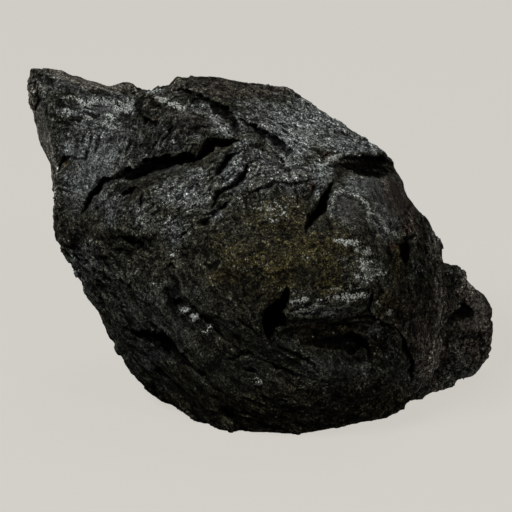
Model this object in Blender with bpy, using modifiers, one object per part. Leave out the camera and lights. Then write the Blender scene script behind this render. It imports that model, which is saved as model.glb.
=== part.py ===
"""A hand-sized lump of gilsonite: one solid of black natural asphalt with fresh, shell-like breaks.

The lump is one piece. It stands on a flat break, and its broad front face leans back a little.
Its outer corners are named below, in millimetres. They are joined into one rough block, whose
skin is then worn and chipped, and the steps, ledges and clefts of its front are pushed into it.
"""

import math

import bmesh
import bpy
import numpy as np
from mathutils import Matrix, Vector, noise

MM = 0.001

# Driving dimensions, in millimetres and degrees
FACE_LEAN = math.radians(20)  # the front face's own plane leans back from upright by this
MIDDLE_HEIGHT = 35.2  # height of that plane's middle above the ground
SKIN_CELL = 0.9  # size of the cells in which the skin is worked
WEAR_ROUNDS = 6  # rounds of wear on the block's creases
WEAR_FADE = (2.0, 12.0)  # the wear sets in between these distances out of the face's plane
FACES_KEPT = 8200  # triangles in the worked skin


def on_face(across, up, out):
    """A point given along the front face: across to the right, up its slope, and out towards the front."""
    return Vector(
        (
            across,
            up * math.sin(FACE_LEAN) - out * math.cos(FACE_LEAN),
            MIDDLE_HEIGHT + up * math.cos(FACE_LEAN) + out * math.sin(FACE_LEAN),
        )
    )


def along_face(points):
    """The reverse of on_face for an array of points: columns across, up and out."""
    x, y, z = points[:, 0], points[:, 1], points[:, 2] - MIDDLE_HEIGHT
    up = y * math.sin(FACE_LEAN) + z * math.cos(FACE_LEAN)
    out = -y * math.cos(FACE_LEAN) + z * math.sin(FACE_LEAN)
    return np.stack([x, up, out], axis=1)


# Corners of the front and the sides, each as (across, up, out)
FRONT_CORNERS = {
    "horn": [
        (-57.2, 47.6, -3), (-53.8, 48.2, -7), (-58.6, 42, -4), (-47.5, 45.6, -9), (-58, 36.5, -5),
        (-55.5, 29, -5), (-52.6, 22.8, -5), (-51.2, 14, -4), (-51.4, 7.5, -3), (-49.8, 2.8, -2),
    ],
    "ridge down from the horn": [
        (-53.5, 42, 2), (-52, 31.5, 5), (-50.8, 21.5, 7), (-50, 11.5, 9), (-49, 4, 9),
    ],
    "upper slab": [
        (-38, 43, -8), (-34.5, 44.2, -8), (-30.2, 39.5, -5), (-50.5, 38.2, 5), (-43, 36, 7),
        (-33, 35.2, 8), (-40.5, 26.5, 10.5), (-46.8, 21.5, 9), (-31.8, 29, 11.5), (-47, 13, 11),
    ],
    "upper lip of the cleft": [
        (-44.8, 11.8, 13), (-40, 19, 13), (-33, 22.5, 14), (-24.2, 25.8, 16), (-15.5, 28.2, 17.5),
        (-4.8, 29, 17.5),
    ],
    "wedge block": [
        (-26.5, 43.5, -6), (-20, 46.5, -8), (-28.5, 39.5, 4), (-29, 37, 8), (-28, 32.8, 14),
        (-19.2, 41, 5), (-21.8, 36.5, 11), (-15.5, 34, 14), (-8.5, 31.5, 15),
    ],
    "top slope": [
        (-6.8, 45, -11), (7, 43.2, -12), (11.5, 40.8, -11), (19.2, 35.2, -9), (26, 30.4, -8),
        (32, 26.8, -5), (-14.8, 41.5, 1), (-8.5, 35, 9), (-1, 31, 12), (6.5, 25.8, 15),
        (14.5, 25, 13), (20.8, 24.8, 10), (30.2, 26, 1), (7, 34, 2),
    ],
    "hollow under the slope": [
        (6.5, 23.5, 16), (20.8, 22, 12), (29.5, 22.8, 2), (33.5, 21, -2), (34.2, 23, -6),
        (19.5, 18.5, 18), (27, 19, 14), (34, 19, 3),
    ],
    "broken ridges": [
        (-4.8, 27.2, 16), (0, 22.8, 20), (9.5, 21, 21), (17, 22, 15), (-6, 21.5, 21),
        (-11.8, 19, 22), (-3, 16.5, 25),
    ],
    "middle left": [
        (-43.5, 8.5, 13), (-38, 13.2, 15), (-28, 17.8, 19), (-15.5, 21, 20), (-40.5, 4.5, 18),
        (-28, 7.8, 23), (-18, 11.5, 25), (-13, 7.8, 28),
    ],
    "central bulge": [
        (-11.8, 12.8, 26), (-0.5, 17, 26), (10.8, 18.2, 24), (12.5, 7.5, 30), (-3, 4, 33),
        (9.5, -0.5, 35), (22, 4, 32), (30.8, -3, 27), (7, -9, 36), (17, -8.8, 35), (27.5, -8.5, 31),
    ],
    "right shoulder": [
        (19, 16.5, 23), (15.8, 8.5, 29), (26.5, 16, 21), (34, 10.2, 13), (36.5, 3.2, 14),
        (30.8, 4.5, 24),
    ],
    "right flank": [
        (38.6, 16.8, -5), (42.6, 10.5, -7), (46.5, 3.2, -9), (44.5, -3.5, 0), (45.5, -12.2, 3),
        (44.5, -24, 3), (40, -33.5, 2), (35.8, -4.8, 18), (37.5, -12.2, 18), (37.5, -23.5, 15),
        (42, -8.5, 9),
    ],
    "lobe": [
        (47, -0.5, -14), (53, -4, -18), (58.8, -11, -20), (61, -19.5, -21), (59, -26.5, -20),
        (53.5, -31.5, -15), (48.5, -35.2, -10), (43, -36.8, -6), (47.5, -6, -13), (48, -13, -13),
        (47.5, -21, -12), (45.5, -29, -9), (53, -12, -10), (55.5, -19, -11), (51.5, -23, -7),
    ],
    "ledge": [
        (7, -10.8, 35.5), (27.5, -10, 30.5), (7.8, -16.5, 34), (27.5, -15.5, 29),
        (7.8, -19.5, 29.5), (19.5, -19, 28), (28.2, -19, 24),
    ],
    "lower lobes": [
        (22, -23, 28), (34, -22.2, 20), (30.8, -31.5, 20), (17, -29, 29), (9.5, -22.2, 31),
        (0, -11, 34), (0, -21, 33),
    ],
    "lower left": [
        (-6.8, -1.5, 32), (-15.5, -11, 31), (-28, -8.5, 25), (-38, -6, 17), (-44.2, -0.5, 10),
        (-33, -18.5, 18), (-23, -23.5, 24), (-10.5, -23.5, 30), (-3, -33.5, 28),
        (-15.5, -33, 21), (9.5, -36, 26), (22, -36, 22), (31.5, -35.5, 12),
    ],
    "lower edge": [
        (-45.4, -3.5, -2), (-41.4, -10.5, -2), (-37.4, -17.2, -1), (-34.8, -23.5, 0), (-31.2, -28.8, 2),
        (-26, -34, 5), (-19.2, -38.3, 9), (-12.5, -41.7, 14), (-5.5, -43.2, 17), (7, -44.2, 18),
        (22, -42.6, 13), (33, -40.3, 6), (37, -36.5, -2),
    ],
}  # fmt: skip

# Corners of the back and the underside, each as (x, y, z)
BACK_CORNERS = {
    "behind the slab": [
        (-50, 25, 66), (-46, 31, 50), (-45, 27, 32), (-36, 33, 67), (-18, 36, 64),
    ],
    "behind the top slope": [
        (-20, 30, 70), (6, 35, 60), (25, 31, 49), (36, 22, 44),
    ],
    "back face": [
        (-30, 38, 42), (-5, 42, 40), (20, 38, 36), (38, 29, 31), (48, 24, 22),
    ],
    "low back": [
        (-28, 27, 14), (-5, 34, 9), (20, 33, 10), (38, 27, 12), (50, 20, 10), (-38, 15, 22),
    ],
    "underside": [
        (-5, -28, -2), (7, -32, -2), (22, -27, -2), (32, -20, -2), (38, 0, -2), (38, 14, -2),
        (22, 26, -2), (0, 26, -2), (-16, 18, -2), (-20, -2, -2), (-15, -18, -2), (10, 0, -3),
    ],
}  # fmt: skip
BLOCK_HEART = Vector((0, 0, 34))  # every corner can be seen from here

# Steps and clefts of the front face. Each is a lip that runs through its corners, given as
# (across, up, width, depth). The skin to the right of the lip is pushed in by the depth, and
# comes back to its old level within the width.
STEPS = {
    "long cleft": [
        (-45.4, 10.8, 1.0, 1.0), (-42.5, 14.5, 2.4, 5.0), (-40.2, 18.4, 2.6, 7.0),
        (-37.2, 19.2, 2.4, 7.0), (-35.0, 19.8, 2.8, 8.0), (-32.5, 22.0, 3.8, 8.5),
        (-28.8, 24.0, 4.4, 9.0), (-25.5, 25.0, 4.2, 9.5), (-22.5, 25.6, 3.8, 9.5),
        (-19.0, 25.6, 3.0, 9.0), (-16.2, 26.4, 3.0, 8.5), (-13.8, 28.4, 3.4, 8.0),
        (-10.5, 29.4, 3.0, 7.0), (-7.5, 29.2, 2.4, 5.0), (-4.0, 28.8, 1.0, 1.0),
    ],
    "hollow under the slope": [
        (18.6, 23.0, 1.0, 2.0), (20.8, 24.2, 3.0, 5.0), (24.0, 24.8, 4.4, 8.0),
        (27.5, 25.2, 5.4, 9.0), (30.8, 25.2, 5.4, 8.0), (33.4, 24.6, 4.2, 6.0),
        (36.5, 23.5, 2.0, 4.0),
    ],
    "step cleft": [
        (10.7, 5.0, 1.0, 1.0), (11.4, 7.4, 2.4, 4.5), (12.6, 9.8, 3.2, 6.5),
        (14.2, 12.8, 3.2, 7.0), (15.8, 15.6, 2.8, 6.0), (18.2, 19.0, 1.2, 2.0),
    ],
    "dark pit": [
        (2.6, -21.2, 1.0, 1.5), (0.8, -19.0, 4.0, 5.0), (0.4, -16.5, 6.2, 7.5),
        (0.8, -13.5, 6.6, 8.0), (1.8, -11.4, 5.6, 7.0), (5.0, -9.8, 2.4, 4.0), (6.0, -6.8, 0.6, 1.0),
    ],
    "under the top slope": [
        (-16.5, 41.5, 4.0, 0.8), (-10.0, 35.4, 7.0, 1.8), (-4.2, 33.6, 7.0, 1.6),
        (0.0, 32.2, 7.0, 2.4), (3.2, 29.2, 7.0, 2.8), (6.2, 26.0, 6.0, 2.4), (9.5, 25.0, 4.0, 0.8),
    ],
    "side of the wedge block": [
        (-26.2, 44.6, 3.0, 2.4), (-29.8, 41.2, 5.0, 4.2), (-30.6, 37.2, 5.5, 4.2),
        (-29.0, 33.8, 5.0, 2.8), (-26.6, 30.4, 4.0, 0.4),
    ],
    "scarp over the bulge": [
        (-8.5, 13.8, 6.0, 0.5), (0.0, 17.4, 9.0, 1.3), (5.8, 18.2, 9.0, 1.5), (12.0, 18.0, 9.0, 1.4),
        (16.5, 17.4, 6.0, 0.6),
    ],
    "shelf": [
        (6.8, -17.2, 6.0, 1.5), (14.5, -16.6, 11.0, 3.6), (22.0, -16.4, 12.0, 4.4),
        (27.5, -15.8, 11.0, 3.8), (31.0, -17.8, 9.0, 3.2), (35.0, -20.2, 8.0, 2.4),
        (37.5, -24.0, 6.0, 1.0),
    ],
    "long sweep": [
        (-34.5, -15.8, 8.0, 0.8), (-29.0, -18.8, 12.0, 2.4), (-24.0, -20.6, 13.0, 3.4),
        (-20.0, -24.0, 13.0, 3.2), (-16.5, -28.5, 12.0, 2.4), (-12.0, -33.0, 10.0, 1.4),
        (-8.0, -36.0, 6.0, 0.4),
    ],
    "outer sweep": [
        (-48.5, 1.8, 4.0, 0.4), (-44.0, -2.5, 7.0, 1.2), (-40.0, -7.5, 8.0, 1.6),
        (-35.5, -12.5, 8.0, 1.4), (-30.0, -16.0, 7.0, 1.0), (-23.0, -19.2, 5.0, 0.4),
    ],
    "inner sweep": [
        (-24.0, -1.5, 5.0, 0.4), (-20.0, -8.5, 8.0, 1.4), (-15.5, -12.5, 9.0, 1.8),
        (-9.0, -16.5, 9.0, 1.6), (-3.0, -20.5, 9.0, 1.4), (3.0, -24.0, 8.0, 1.4),
        (8.0, -28.0, 7.0, 1.0), (12.0, -31.5, 5.0, 0.3),
    ],
    "short sweep": [
        (-4.5, -16.2, 4.0, 0.3), (0.0, -19.2, 6.0, 1.3), (6.0, -22.6, 7.0, 1.4),
        (11.0, -25.6, 7.0, 1.2), (15.0, -29.0, 6.0, 0.8), (18.0, -33.0, 4.0, 0.3),
    ],
    "turn under the middle left": [
        (-45.0, 8.5, 5.0, 0.4), (-38.0, 6.8, 10.0, 1.4), (-30.0, 5.2, 11.0, 1.9),
        (-24.0, 4.6, 10.0, 1.6), (-19.0, 6.0, 8.0, 1.0), (-14.0, 8.0, 4.0, 0.3),
    ],
    "rim over the lobe": [
        (40.0, -33.5, 4.0, 0.6), (44.4, -24.0, 7.0, 2.6), (45.4, -12.2, 7.0, 3.0),
        (44.2, -3.5, 6.0, 2.4), (41.0, 4.0, 4.0, 0.6),
    ],
    "long ridge crack": [
        (-11.8, 13.0, 1.2, 0.8), (-8.8, 16.5, 1.6, 2.4), (-5.5, 19.5, 1.8, 2.6), (-4.4, 23.2, 1.0, 0.8),
    ],
    "short ridge crack": [
        (-12.0, 20.2, 1.2, 0.6), (-9.8, 23.2, 2.6, 2.8), (-7.2, 25.4, 1.6, 0.8),
    ],
    "lower ridge crack": [
        (-16.5, 9.6, 1.0, 0.4), (-11.8, 11.6, 1.5, 1.8), (-8.0, 13.4, 1.0, 0.4),
    ],
    "under the wedge block": [
        (-29.0, 34.0, 1.4, 0.8), (-26.4, 33.4, 3.4, 2.4), (-22.6, 33.0, 3.2, 2.2), (-19.0, 33.6, 1.4, 0.4),
    ],
    "upper slope crack": [
        (-16.0, 41.4, 1.2, 0.8), (-12.4, 38.6, 2.6, 3.2), (-9.0, 36.0, 2.8, 4.2),
        (-6.6, 33.2, 2.4, 3.4), (-5.0, 30.8, 1.2, 0.8),
    ],
    "lower slope crack": [
        (-5.2, 34.4, 1.2, 0.6), (-2.4, 32.2, 2.4, 2.6), (1.0, 30.2, 2.6, 3.4),
        (4.6, 28.0, 2.6, 3.6), (7.6, 26.0, 1.4, 1.0),
    ],
    "notch": [
        (-14.4, 6.2, 1.2, 0.5), (-12.6, 8.5, 2.2, 2.2), (-9.8, 9.9, 1.2, 0.5),
    ],
    "far notch": [
        (-20.8, 4.6, 1.2, 0.4), (-18.5, 6.6, 2.0, 1.6), (-15.2, 7.6, 1.2, 0.4),
    ],
    "point of the slope": [
        (5.2, 25.0, 1.4, 1.0), (5.6, 22.8, 2.4, 2.6), (6.6, 20.6, 1.4, 0.8),
    ],
    "hairline": [
        (-4.8, 28.4, 1.2, 0.5), (0.0, 26.6, 1.6, 1.1), (3.2, 25.2, 1.6, 1.1), (6.0, 24.0, 1.0, 0.4),
    ],
    "below the cleft": [
        (-35.8, 14.6, 1.2, 0.6), (-33.2, 16.2, 2.4, 2.2), (-30.8, 17.4, 1.2, 0.6),
    ],
    "right flank": [
        (36.0, -4.0, 1.6, 0.6), (35.2, 0.2, 2.6, 2.4), (35.0, 5.0, 1.6, 0.6),
    ],
    "lower right": [
        (37.9, -31.0, 1.2, 0.6), (37.0, -27.2, 2.2, 2.2), (37.6, -22.0, 1.2, 0.6),
    ],
    "slab notch": [
        (-50.8, 23.0, 1.6, 0.8), (-49.4, 25.4, 2.8, 2.4), (-46.8, 25.6, 1.0, 0.4),
    ],
    "lobe hollow": [
        (51.2, -16.0, 2.0, 0.6), (54.0, -12.6, 4.0, 2.8), (57.4, -14.4, 3.0, 0.8),
    ],
    "under the shelf": [
        (14.5, -21.5, 3.0, 0.6), (19.5, -22.0, 6.0, 2.0), (24.0, -22.6, 6.5, 2.8), (28.5, -24.5, 4.0, 0.6),
    ],
    "dark patch": [
        (-36.5, 4.2, 3.0, 0.4), (-32.0, 4.8, 5.0, 1.6), (-27.5, 4.4, 3.0, 0.4),
    ],
}  # fmt: skip
UNDERCUT = 0.25  # a pushed-in skin also slides under its lip, by this share of its depth
UNDERCUT_FROM = 5.0  # but only where it is at least this deep
UNDERCUT_MOST = 1.5  # and never by more than this
FLOOR_SHAPE = 1.7  # how long a step's floor stays deep before it rises again: 1 is a plain ramp
STEPS_FADE = (-18.0, -10.0)  # steps fade out between these distances out, before the sides

# The skin is broken into chips that lie along the grain of their part of the front, as
# (across, up) of the part's middle, its reach, the grain's slope in degrees, and each chip's
# stretch along the grain, size, tilt and step.
CHIPS = {
    "horn": (-53, 38, 8, 80, 2.0, 4.5, 0.12, 0.7),
    "slab": (-42, 28, 14, -8, 2.6, 5.0, 0.06, 0.5),
    "wedge block": (-20, 34, 9, -35, 2.2, 4.5, 0.10, 0.7),
    "top slope": (14, 36, 14, -36, 2.4, 5.5, 0.06, 0.4),
    "middle left": (-29, 14, 12, 32, 2.2, 5.0, 0.07, 0.5),
    "ridges": (-3, 22, 10, 48, 2.4, 5.0, 0.12, 1.1),
    "bulge": (12, -1, 17, 0, 1.3, 10.0, 0.05, 0.3),
    "right shoulder": (26, 13, 9, 70, 1.4, 7.0, 0.08, 0.5),
    "right flank": (42, -8, 8, 86, 2.6, 4.5, 0.14, 1.1),
    "lobe": (54, -18, 9, 55, 1.4, 6.0, 0.12, 0.8),
    "lower left": (-24, -14, 20, -42, 3.6, 6.0, 0.12, 1.3),
    "low middle": (6, -33, 16, -33, 3.0, 6.0, 0.12, 1.2),
    "low right": (30, -27, 12, -20, 1.8, 5.5, 0.14, 1.2),
}  # fmt: skip
BACK_CHIPS = (1.0, 15.0, 0.13, 1.8)  # stretch, size, tilt and step of the breaks at the back
BACK_FADE = (-12.0, -20.0)  # the back's breaks take over between these distances out
WAVER = (4.0, 0.7)  # length and height of the small bends in every edge
PATTERN_GAP = 7.0  # each part of the front reads its chips this many times its place away


def rough_block(collection):
    """The block whose corners are the named ones. Seen from its heart the corners lie on a ball,
    and the hull of that ball says which corners are neighbours."""
    corners = [on_face(*c) for group in FRONT_CORNERS.values() for c in group]
    corners += [Vector(c) for group in BACK_CORNERS.values() for c in group]
    mesh = bmesh.new()
    for corner in corners:
        mesh.verts.new((corner - BLOCK_HEART).normalized())
    bmesh.ops.convex_hull(mesh, input=mesh.verts)
    for vertex, corner in zip(mesh.verts, corners):
        vertex.co = corner * MM
    bmesh.ops.recalc_face_normals(mesh, faces=mesh.faces)
    data = bpy.data.meshes.new("gilsonite_lump")
    mesh.to_mesh(data)
    mesh.free()
    lump = bpy.data.objects.new("gilsonite_lump", data)
    collection.objects.link(lump)
    return lump


def apply_modifiers(obj):
    """Bakes the object's modifiers into its mesh."""
    graph = bpy.context.evaluated_depsgraph_get()
    baked = bpy.data.meshes.new_from_object(obj.evaluated_get(graph))
    obj.modifiers.clear()
    obj.data = baked


def even_skin(lump):
    """Gives the lump a closed skin of even cells."""
    skin = lump.modifiers.new("skin", "REMESH")
    skin.mode = "VOXEL"
    skin.voxel_size = SKIN_CELL * MM
    apply_modifiers(lump)


def fade(values, start, end):
    """0 before start and 1 after end, with a smooth change between them."""
    share = np.clip((values - start) / (end - start), 0, 1)
    return share * share * (3 - 2 * share)


def wear_front(lump):
    """Softens the creases between the block's corners on the front, and leaves its outline."""
    group = lump.vertex_groups.new(name="front")
    points = np.array([v.co for v in lump.data.vertices]) / MM
    for index, weight in enumerate(fade(along_face(points)[:, 2], *WEAR_FADE)):
        group.add([index], weight, "REPLACE")
    wear = lump.modifiers.new("wear", "SMOOTH")
    wear.vertex_group = group.name
    wear.iterations = WEAR_ROUNDS
    apply_modifiers(lump)
    lump.vertex_groups.clear()


def move_skin(lump, place):
    """Moves every point of the skin to where place(points, normals) puts it, in millimetres."""
    data = lump.data
    points = np.empty(len(data.vertices) * 3, np.float32)
    normals = np.empty(len(data.vertices) * 3, np.float32)
    data.vertices.foreach_get("co", points)
    data.vertices.foreach_get("normal", normals)
    points, normals = (a.reshape(-1, 3).astype(float) for a in (points, normals))
    moved = place(points / MM, normals)
    data.vertices.foreach_set("co", (moved * MM).astype(np.float32).ravel())
    data.update()


def waver(points):
    """Small sideways bends, for points along_face."""
    length, height = WAVER
    return np.array([noise.noise_vector(Vector(p) / length)[:2] for p in points]) * height


def chips(points, stretch, size, tilt, step):
    """Relief of a skin broken into chips that are drawn out along the first axis: each cell of a
    random pattern is a plane of its own tilt and height."""
    relief = np.zeros(len(points))
    for i, (along, over, out) in enumerate(points / size):
        spot = Vector((along / stretch, over, out))
        cell = noise.voronoi(spot)[1][0]
        lean = noise.cell_vector(cell * 57.0)
        relief[i] = (spot - cell).dot(lean) * tilt * size + (noise.cell(cell * 91.0) - 0.5) * step
    return relief


def chipped(points, normals):
    """The skin with the height of every chip, blended from one part's grain to the next."""
    face = along_face(points)
    face[:, :2] += waver(face)
    weights = fade(face[:, 2], *BACK_FADE) * 2
    relief = weights * chips(points, *BACK_CHIPS)
    for across, up, reach, slope, *kind in CHIPS.values():
        offset = face[:, :2] - (across, up)
        weight = np.exp(-np.sum(offset**2, axis=1) / reach**2) * (face[:, 2] > BACK_FADE[1])
        near = weight > 0.02
        turn = math.radians(slope)
        along = offset[near] @ (math.cos(turn), math.sin(turn)) + PATTERN_GAP * across
        over = offset[near] @ (-math.sin(turn), math.cos(turn)) + PATTERN_GAP * up
        relief[near] += weight[near] * chips(np.stack([along, over, face[near, 2]], 1), *kind)
        weights += weight
    return points + normals * (relief / np.maximum(weights, 0.3))[:, None]


def from_lip(points, lip):
    """For flat points and a lip: how far each lies to its right (above zero) or left, the vector
    from the lip's nearest point, and the lip's width and depth there."""
    corners = np.array(lip, float)
    nearest = np.full(len(points), np.inf)
    side = np.zeros(len(points))
    away = np.zeros((len(points), 2))
    size = np.zeros((len(points), 2))
    for start, end in zip(corners, corners[1:]):
        piece = end[:2] - start[:2]
        gap = points - start[:2]
        share = np.clip(gap @ piece / (piece @ piece), 0, 1)[:, None]
        offset = gap - share * piece
        distance = np.linalg.norm(offset, axis=1)
        closer = distance < nearest
        turn = piece[1] * gap[:, 0] - piece[0] * gap[:, 1]
        nearest = np.where(closer, distance, nearest)
        side = np.where(closer, np.where(turn > 0, distance, -distance), side)
        away = np.where(closer[:, None], offset, away)
        size = np.where(closer[:, None], start[2:] + share * (end[2:] - start[2:]), size)
    return side, away, size[:, 0], size[:, 1]


def stepped(points, _):
    """The skin pushed in at every step and cleft. A point within half a cell of a lip is first
    drawn onto it, so that the lip is a clean edge."""
    face = along_face(points)
    front = fade(face[:, 2], *STEPS_FADE)
    bend = waver(face)
    for lip in STEPS.values():
        side, away, width, depth = from_lip(face[:, :2] + bend, lip)
        on_lip = (np.abs(side) < 0.5 * SKIN_CELL) & (width > 2 * SKIN_CELL)
        face[:, :2] -= away * on_lip[:, None]
        across_floor = np.clip(side / width, 0, 1)
        push = depth * (1 - across_floor**FLOOR_SHAPE) * front * (side > 0) * ~on_lip
        slide = UNDERCUT * push * (depth > UNDERCUT_FROM) / np.maximum(np.abs(side), 1e-6)
        face[:, :2] -= away * np.minimum(slide, UNDERCUT_MOST)[:, None]
        face[:, 2] -= push
    return np.array([on_face(*point) for point in face])


def thin_out(lump):
    """Keeps faces mostly where the skin bends."""
    fewer = lump.modifiers.new("fewer faces", "DECIMATE")
    fewer.ratio = FACES_KEPT / (2 * len(lump.data.polygons))
    fewer.use_collapse_triangulate = True
    apply_modifiers(lump)


def stand_flat(lump):
    """Cuts the lump off flat at the ground and closes the cut with one face."""
    mesh = bmesh.new()
    mesh.from_mesh(lump.data)
    everything = mesh.verts[:] + mesh.edges[:] + mesh.faces[:]
    cut = bmesh.ops.bisect_plane(
        mesh, geom=everything, dist=1e-7, plane_co=(0, 0, 0), plane_no=(0, 0, -1), clear_outer=True
    )
    rim = [e for e in cut["geom_cut"] if isinstance(e, bmesh.types.BMEdge)]
    bmesh.ops.contextual_create(mesh, geom=rim)
    mesh.to_mesh(lump.data)
    mesh.free()


def stand_in_middle(lump):
    """Moves the lump so that the middle of its box is over the origin."""
    corners = np.array(lump.bound_box)
    middle = (corners.min(axis=0) + corners.max(axis=0)) / 2
    lump.data.transform(Matrix.Translation((-middle[0], -middle[1], 0)))


def finish(lump):
    """The black, pitchy stone itself, on faces that stay flat."""
    stone = bpy.data.materials.new("gilsonite")
    stone.use_nodes = True
    shader = stone.node_tree.nodes["Principled BSDF"]
    shader.inputs["Base Color"].default_value = (0.013, 0.012, 0.010, 1)
    shader.inputs["Roughness"].default_value = 0.38
    shader.inputs["IOR"].default_value = 1.6
    lump.data.materials.clear()
    lump.data.materials.append(stone)
    lump.data.polygons.foreach_set("use_smooth", [False] * len(lump.data.polygons))
    lump.data.update()


def main():
    for obj in list(bpy.data.objects):
        bpy.data.objects.remove(obj)
    collection = bpy.data.collections.new("gilsonite lump")
    bpy.context.scene.collection.children.link(collection)
    lump = rough_block(collection)
    even_skin(lump)
    wear_front(lump)
    move_skin(lump, chipped)
    move_skin(lump, stepped)
    even_skin(lump)
    thin_out(lump)
    stand_flat(lump)
    stand_in_middle(lump)
    finish(lump)


main()
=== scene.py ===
# %% [markdown]
# # A lump of gilsonite
#
# Gilsonite is a natural asphalt: a black, brittle pitch that breaks like thick glass. This lesson
# dresses one hand-sized lump of it. Its plain solid is already there, with its true size and its
# large forms. What is still missing is what the eye reads as stone: the small ledges, the ribs that
# a break leaves behind, the grain, and a black that is dull in one place and glossy in the next.
#
# The work goes in a sculptor's order: first a fine skin, then the relief from large to small, then
# colour, then gloss, and the light last.

import math

import bpy
import numpy as np
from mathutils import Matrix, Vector


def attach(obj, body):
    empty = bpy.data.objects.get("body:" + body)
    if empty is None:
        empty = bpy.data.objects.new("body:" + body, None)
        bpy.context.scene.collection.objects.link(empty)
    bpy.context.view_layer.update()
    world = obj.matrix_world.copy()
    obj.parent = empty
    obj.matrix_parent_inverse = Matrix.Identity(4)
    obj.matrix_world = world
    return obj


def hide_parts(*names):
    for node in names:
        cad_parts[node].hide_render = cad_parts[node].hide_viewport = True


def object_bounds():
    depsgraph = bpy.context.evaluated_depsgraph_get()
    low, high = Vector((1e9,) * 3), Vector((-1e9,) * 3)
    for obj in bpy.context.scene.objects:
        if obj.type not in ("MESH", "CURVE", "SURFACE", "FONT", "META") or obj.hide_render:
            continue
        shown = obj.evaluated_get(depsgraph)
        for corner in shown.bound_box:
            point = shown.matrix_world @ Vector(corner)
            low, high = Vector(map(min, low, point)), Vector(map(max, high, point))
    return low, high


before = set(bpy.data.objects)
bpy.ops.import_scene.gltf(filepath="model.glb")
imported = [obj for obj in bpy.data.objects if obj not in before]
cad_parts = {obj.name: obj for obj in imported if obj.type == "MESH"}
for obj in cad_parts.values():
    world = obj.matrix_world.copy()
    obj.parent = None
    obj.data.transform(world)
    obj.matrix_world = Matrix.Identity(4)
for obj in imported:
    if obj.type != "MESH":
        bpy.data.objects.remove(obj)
cad_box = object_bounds()
cad_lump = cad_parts["gilsonite_lump"]
MM = 0.001
print("plain solid:", [round(side / MM, 1) for side in cad_box[1] - cad_box[0]], "mm")

# %% [markdown]
# ## The front face
#
# Almost everything that makes this lump itself is on its broad front, which leans back by 20
# degrees. Places on it could be given in the scene's own axes, but then every ledge would need three
# numbers that change together. So they are given along the face, as (across, up, out) in
# millimetres, the way one would measure them with a ruler laid on the stone.

# %% Measuring along the front face
FACE_LEAN = math.radians(20)
FACE_MIDDLE = np.array((-1.6, -2.1, 35.2))  # where across, up and out are all 0
ACROSS = np.array((1.0, 0.0, 0.0))
UP = np.array((0.0, math.sin(FACE_LEAN), math.cos(FACE_LEAN)))
OUT = np.array((0.0, -math.cos(FACE_LEAN), math.sin(FACE_LEAN)))
FACE_AXES = np.stack([ACROSS, UP, OUT])


def along_face(points):
    """Columns across, up and out for points in millimetres."""
    return (points - FACE_MIDDLE) @ FACE_AXES.T


def off_face(face):
    """The reverse of along_face."""
    return face @ FACE_AXES + FACE_MIDDLE


print("the face looks towards", OUT.round(2))

# %% [markdown]
# ## A skin fine enough to carve
#
# The solid's triangles are two to three millimetres wide, and the relief to come is finer.
# Subdividing them would keep their long edges in the stone. Instead a Remesh modifier in voxel mode
# wraps a copy in an even net of half-millimetre cells, and a few rounds of Smooth take the old edges
# away. The merge comes first, because the solid arrives as loose triangles, and a remesh wants a
# closed surface.

# %% The fine skin
MERGE_WITHIN = 1e-6  # metres
SKIN_CELL = 0.46  # millimetres
SMOOTH_ROUNDS = 3


def select_only(obj):
    bpy.ops.object.select_all(action="DESELECT")
    obj.select_set(True)
    bpy.context.view_layer.objects.active = obj


def apply_modifier(obj, kind, **settings):
    """Adds one modifier with these settings and applies it."""
    select_only(obj)
    made = obj.modifiers.new(kind.lower(), kind)
    for name, value in settings.items():
        setattr(made, name, value)
    bpy.ops.object.modifier_apply(modifier=made.name)


def fine_skin(solid, name):
    """A copy of the solid, merged and wrapped in small even cells."""
    skin = bpy.data.objects.new(name, solid.data.copy())
    bpy.context.scene.collection.objects.link(skin)
    select_only(skin)
    bpy.ops.object.mode_set(mode="EDIT")
    bpy.ops.mesh.select_all(action="SELECT")
    bpy.ops.mesh.remove_doubles(threshold=MERGE_WITHIN)
    bpy.ops.object.mode_set(mode="OBJECT")
    apply_modifier(skin, "REMESH", mode="VOXEL", voxel_size=SKIN_CELL * MM)
    apply_modifier(skin, "SMOOTH", iterations=SMOOTH_ROUNDS)
    return skin


lump = fine_skin(cad_lump, "gilsonite_stone")
print("fine skin:", len(lump.data.vertices), "points")

# %% [markdown]
# ## Small corrections with the grab brush
#
# The solid has its large forms to within a millimetre or two. Before anything is carved, the skin is
# pulled a little here and there, as with the grab brush in sculpt mode. A brush stroke can't be
# written down, but a pull can: it has a middle, a reach and a direction, and it fades away smoothly.
# Pulls on the outline take the whole thickness of the stone along. Pulls on the face move only the
# front.

# %% Moving the skin's points
def skin_points(obj):
    """The skin's points in millimetres, and its normals."""
    count = len(obj.data.vertices)
    points, normals = np.empty(count * 3, np.float32), np.empty(count * 3, np.float32)
    obj.data.vertices.foreach_get("co", points)
    obj.data.vertices.foreach_get("normal", normals)
    return points.reshape(-1, 3).astype(float) / MM, normals.reshape(-1, 3).astype(float)


def move_skin(obj, place):
    """Moves every point to where place(points, normals) puts it, and says how far that was."""
    points, normals = skin_points(obj)
    moved = place(points, normals)
    obj.data.vertices.foreach_set("co", (moved * MM).astype(np.float32).ravel())
    obj.data.update()
    print(place.__name__, "moved the skin by up to", np.abs(moved - points).max().round(2), "mm")


print("skin:", np.ptp(skin_points(lump)[0], axis=0).round(1), "mm")

# %% What is front and what is back
FRONT_STARTS, FRONT_REACHED = -18.0, -9.0  # out, in millimetres
LOBE_BACK = 12.0  # the lobe on the right lies about this much further back than the rest
LOBE_STARTS, LOBE_REACHED = 46, 53  # across, in millimetres


def eased(share):
    """0 to 1 again, but slow at both ends."""
    return share * share * (3 - 2 * share)


def fade(values, start, end):
    """0 before start and 1 after end, with a smooth change between them."""
    return eased(np.clip((values - start) / (end - start), 0, 1))


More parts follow.
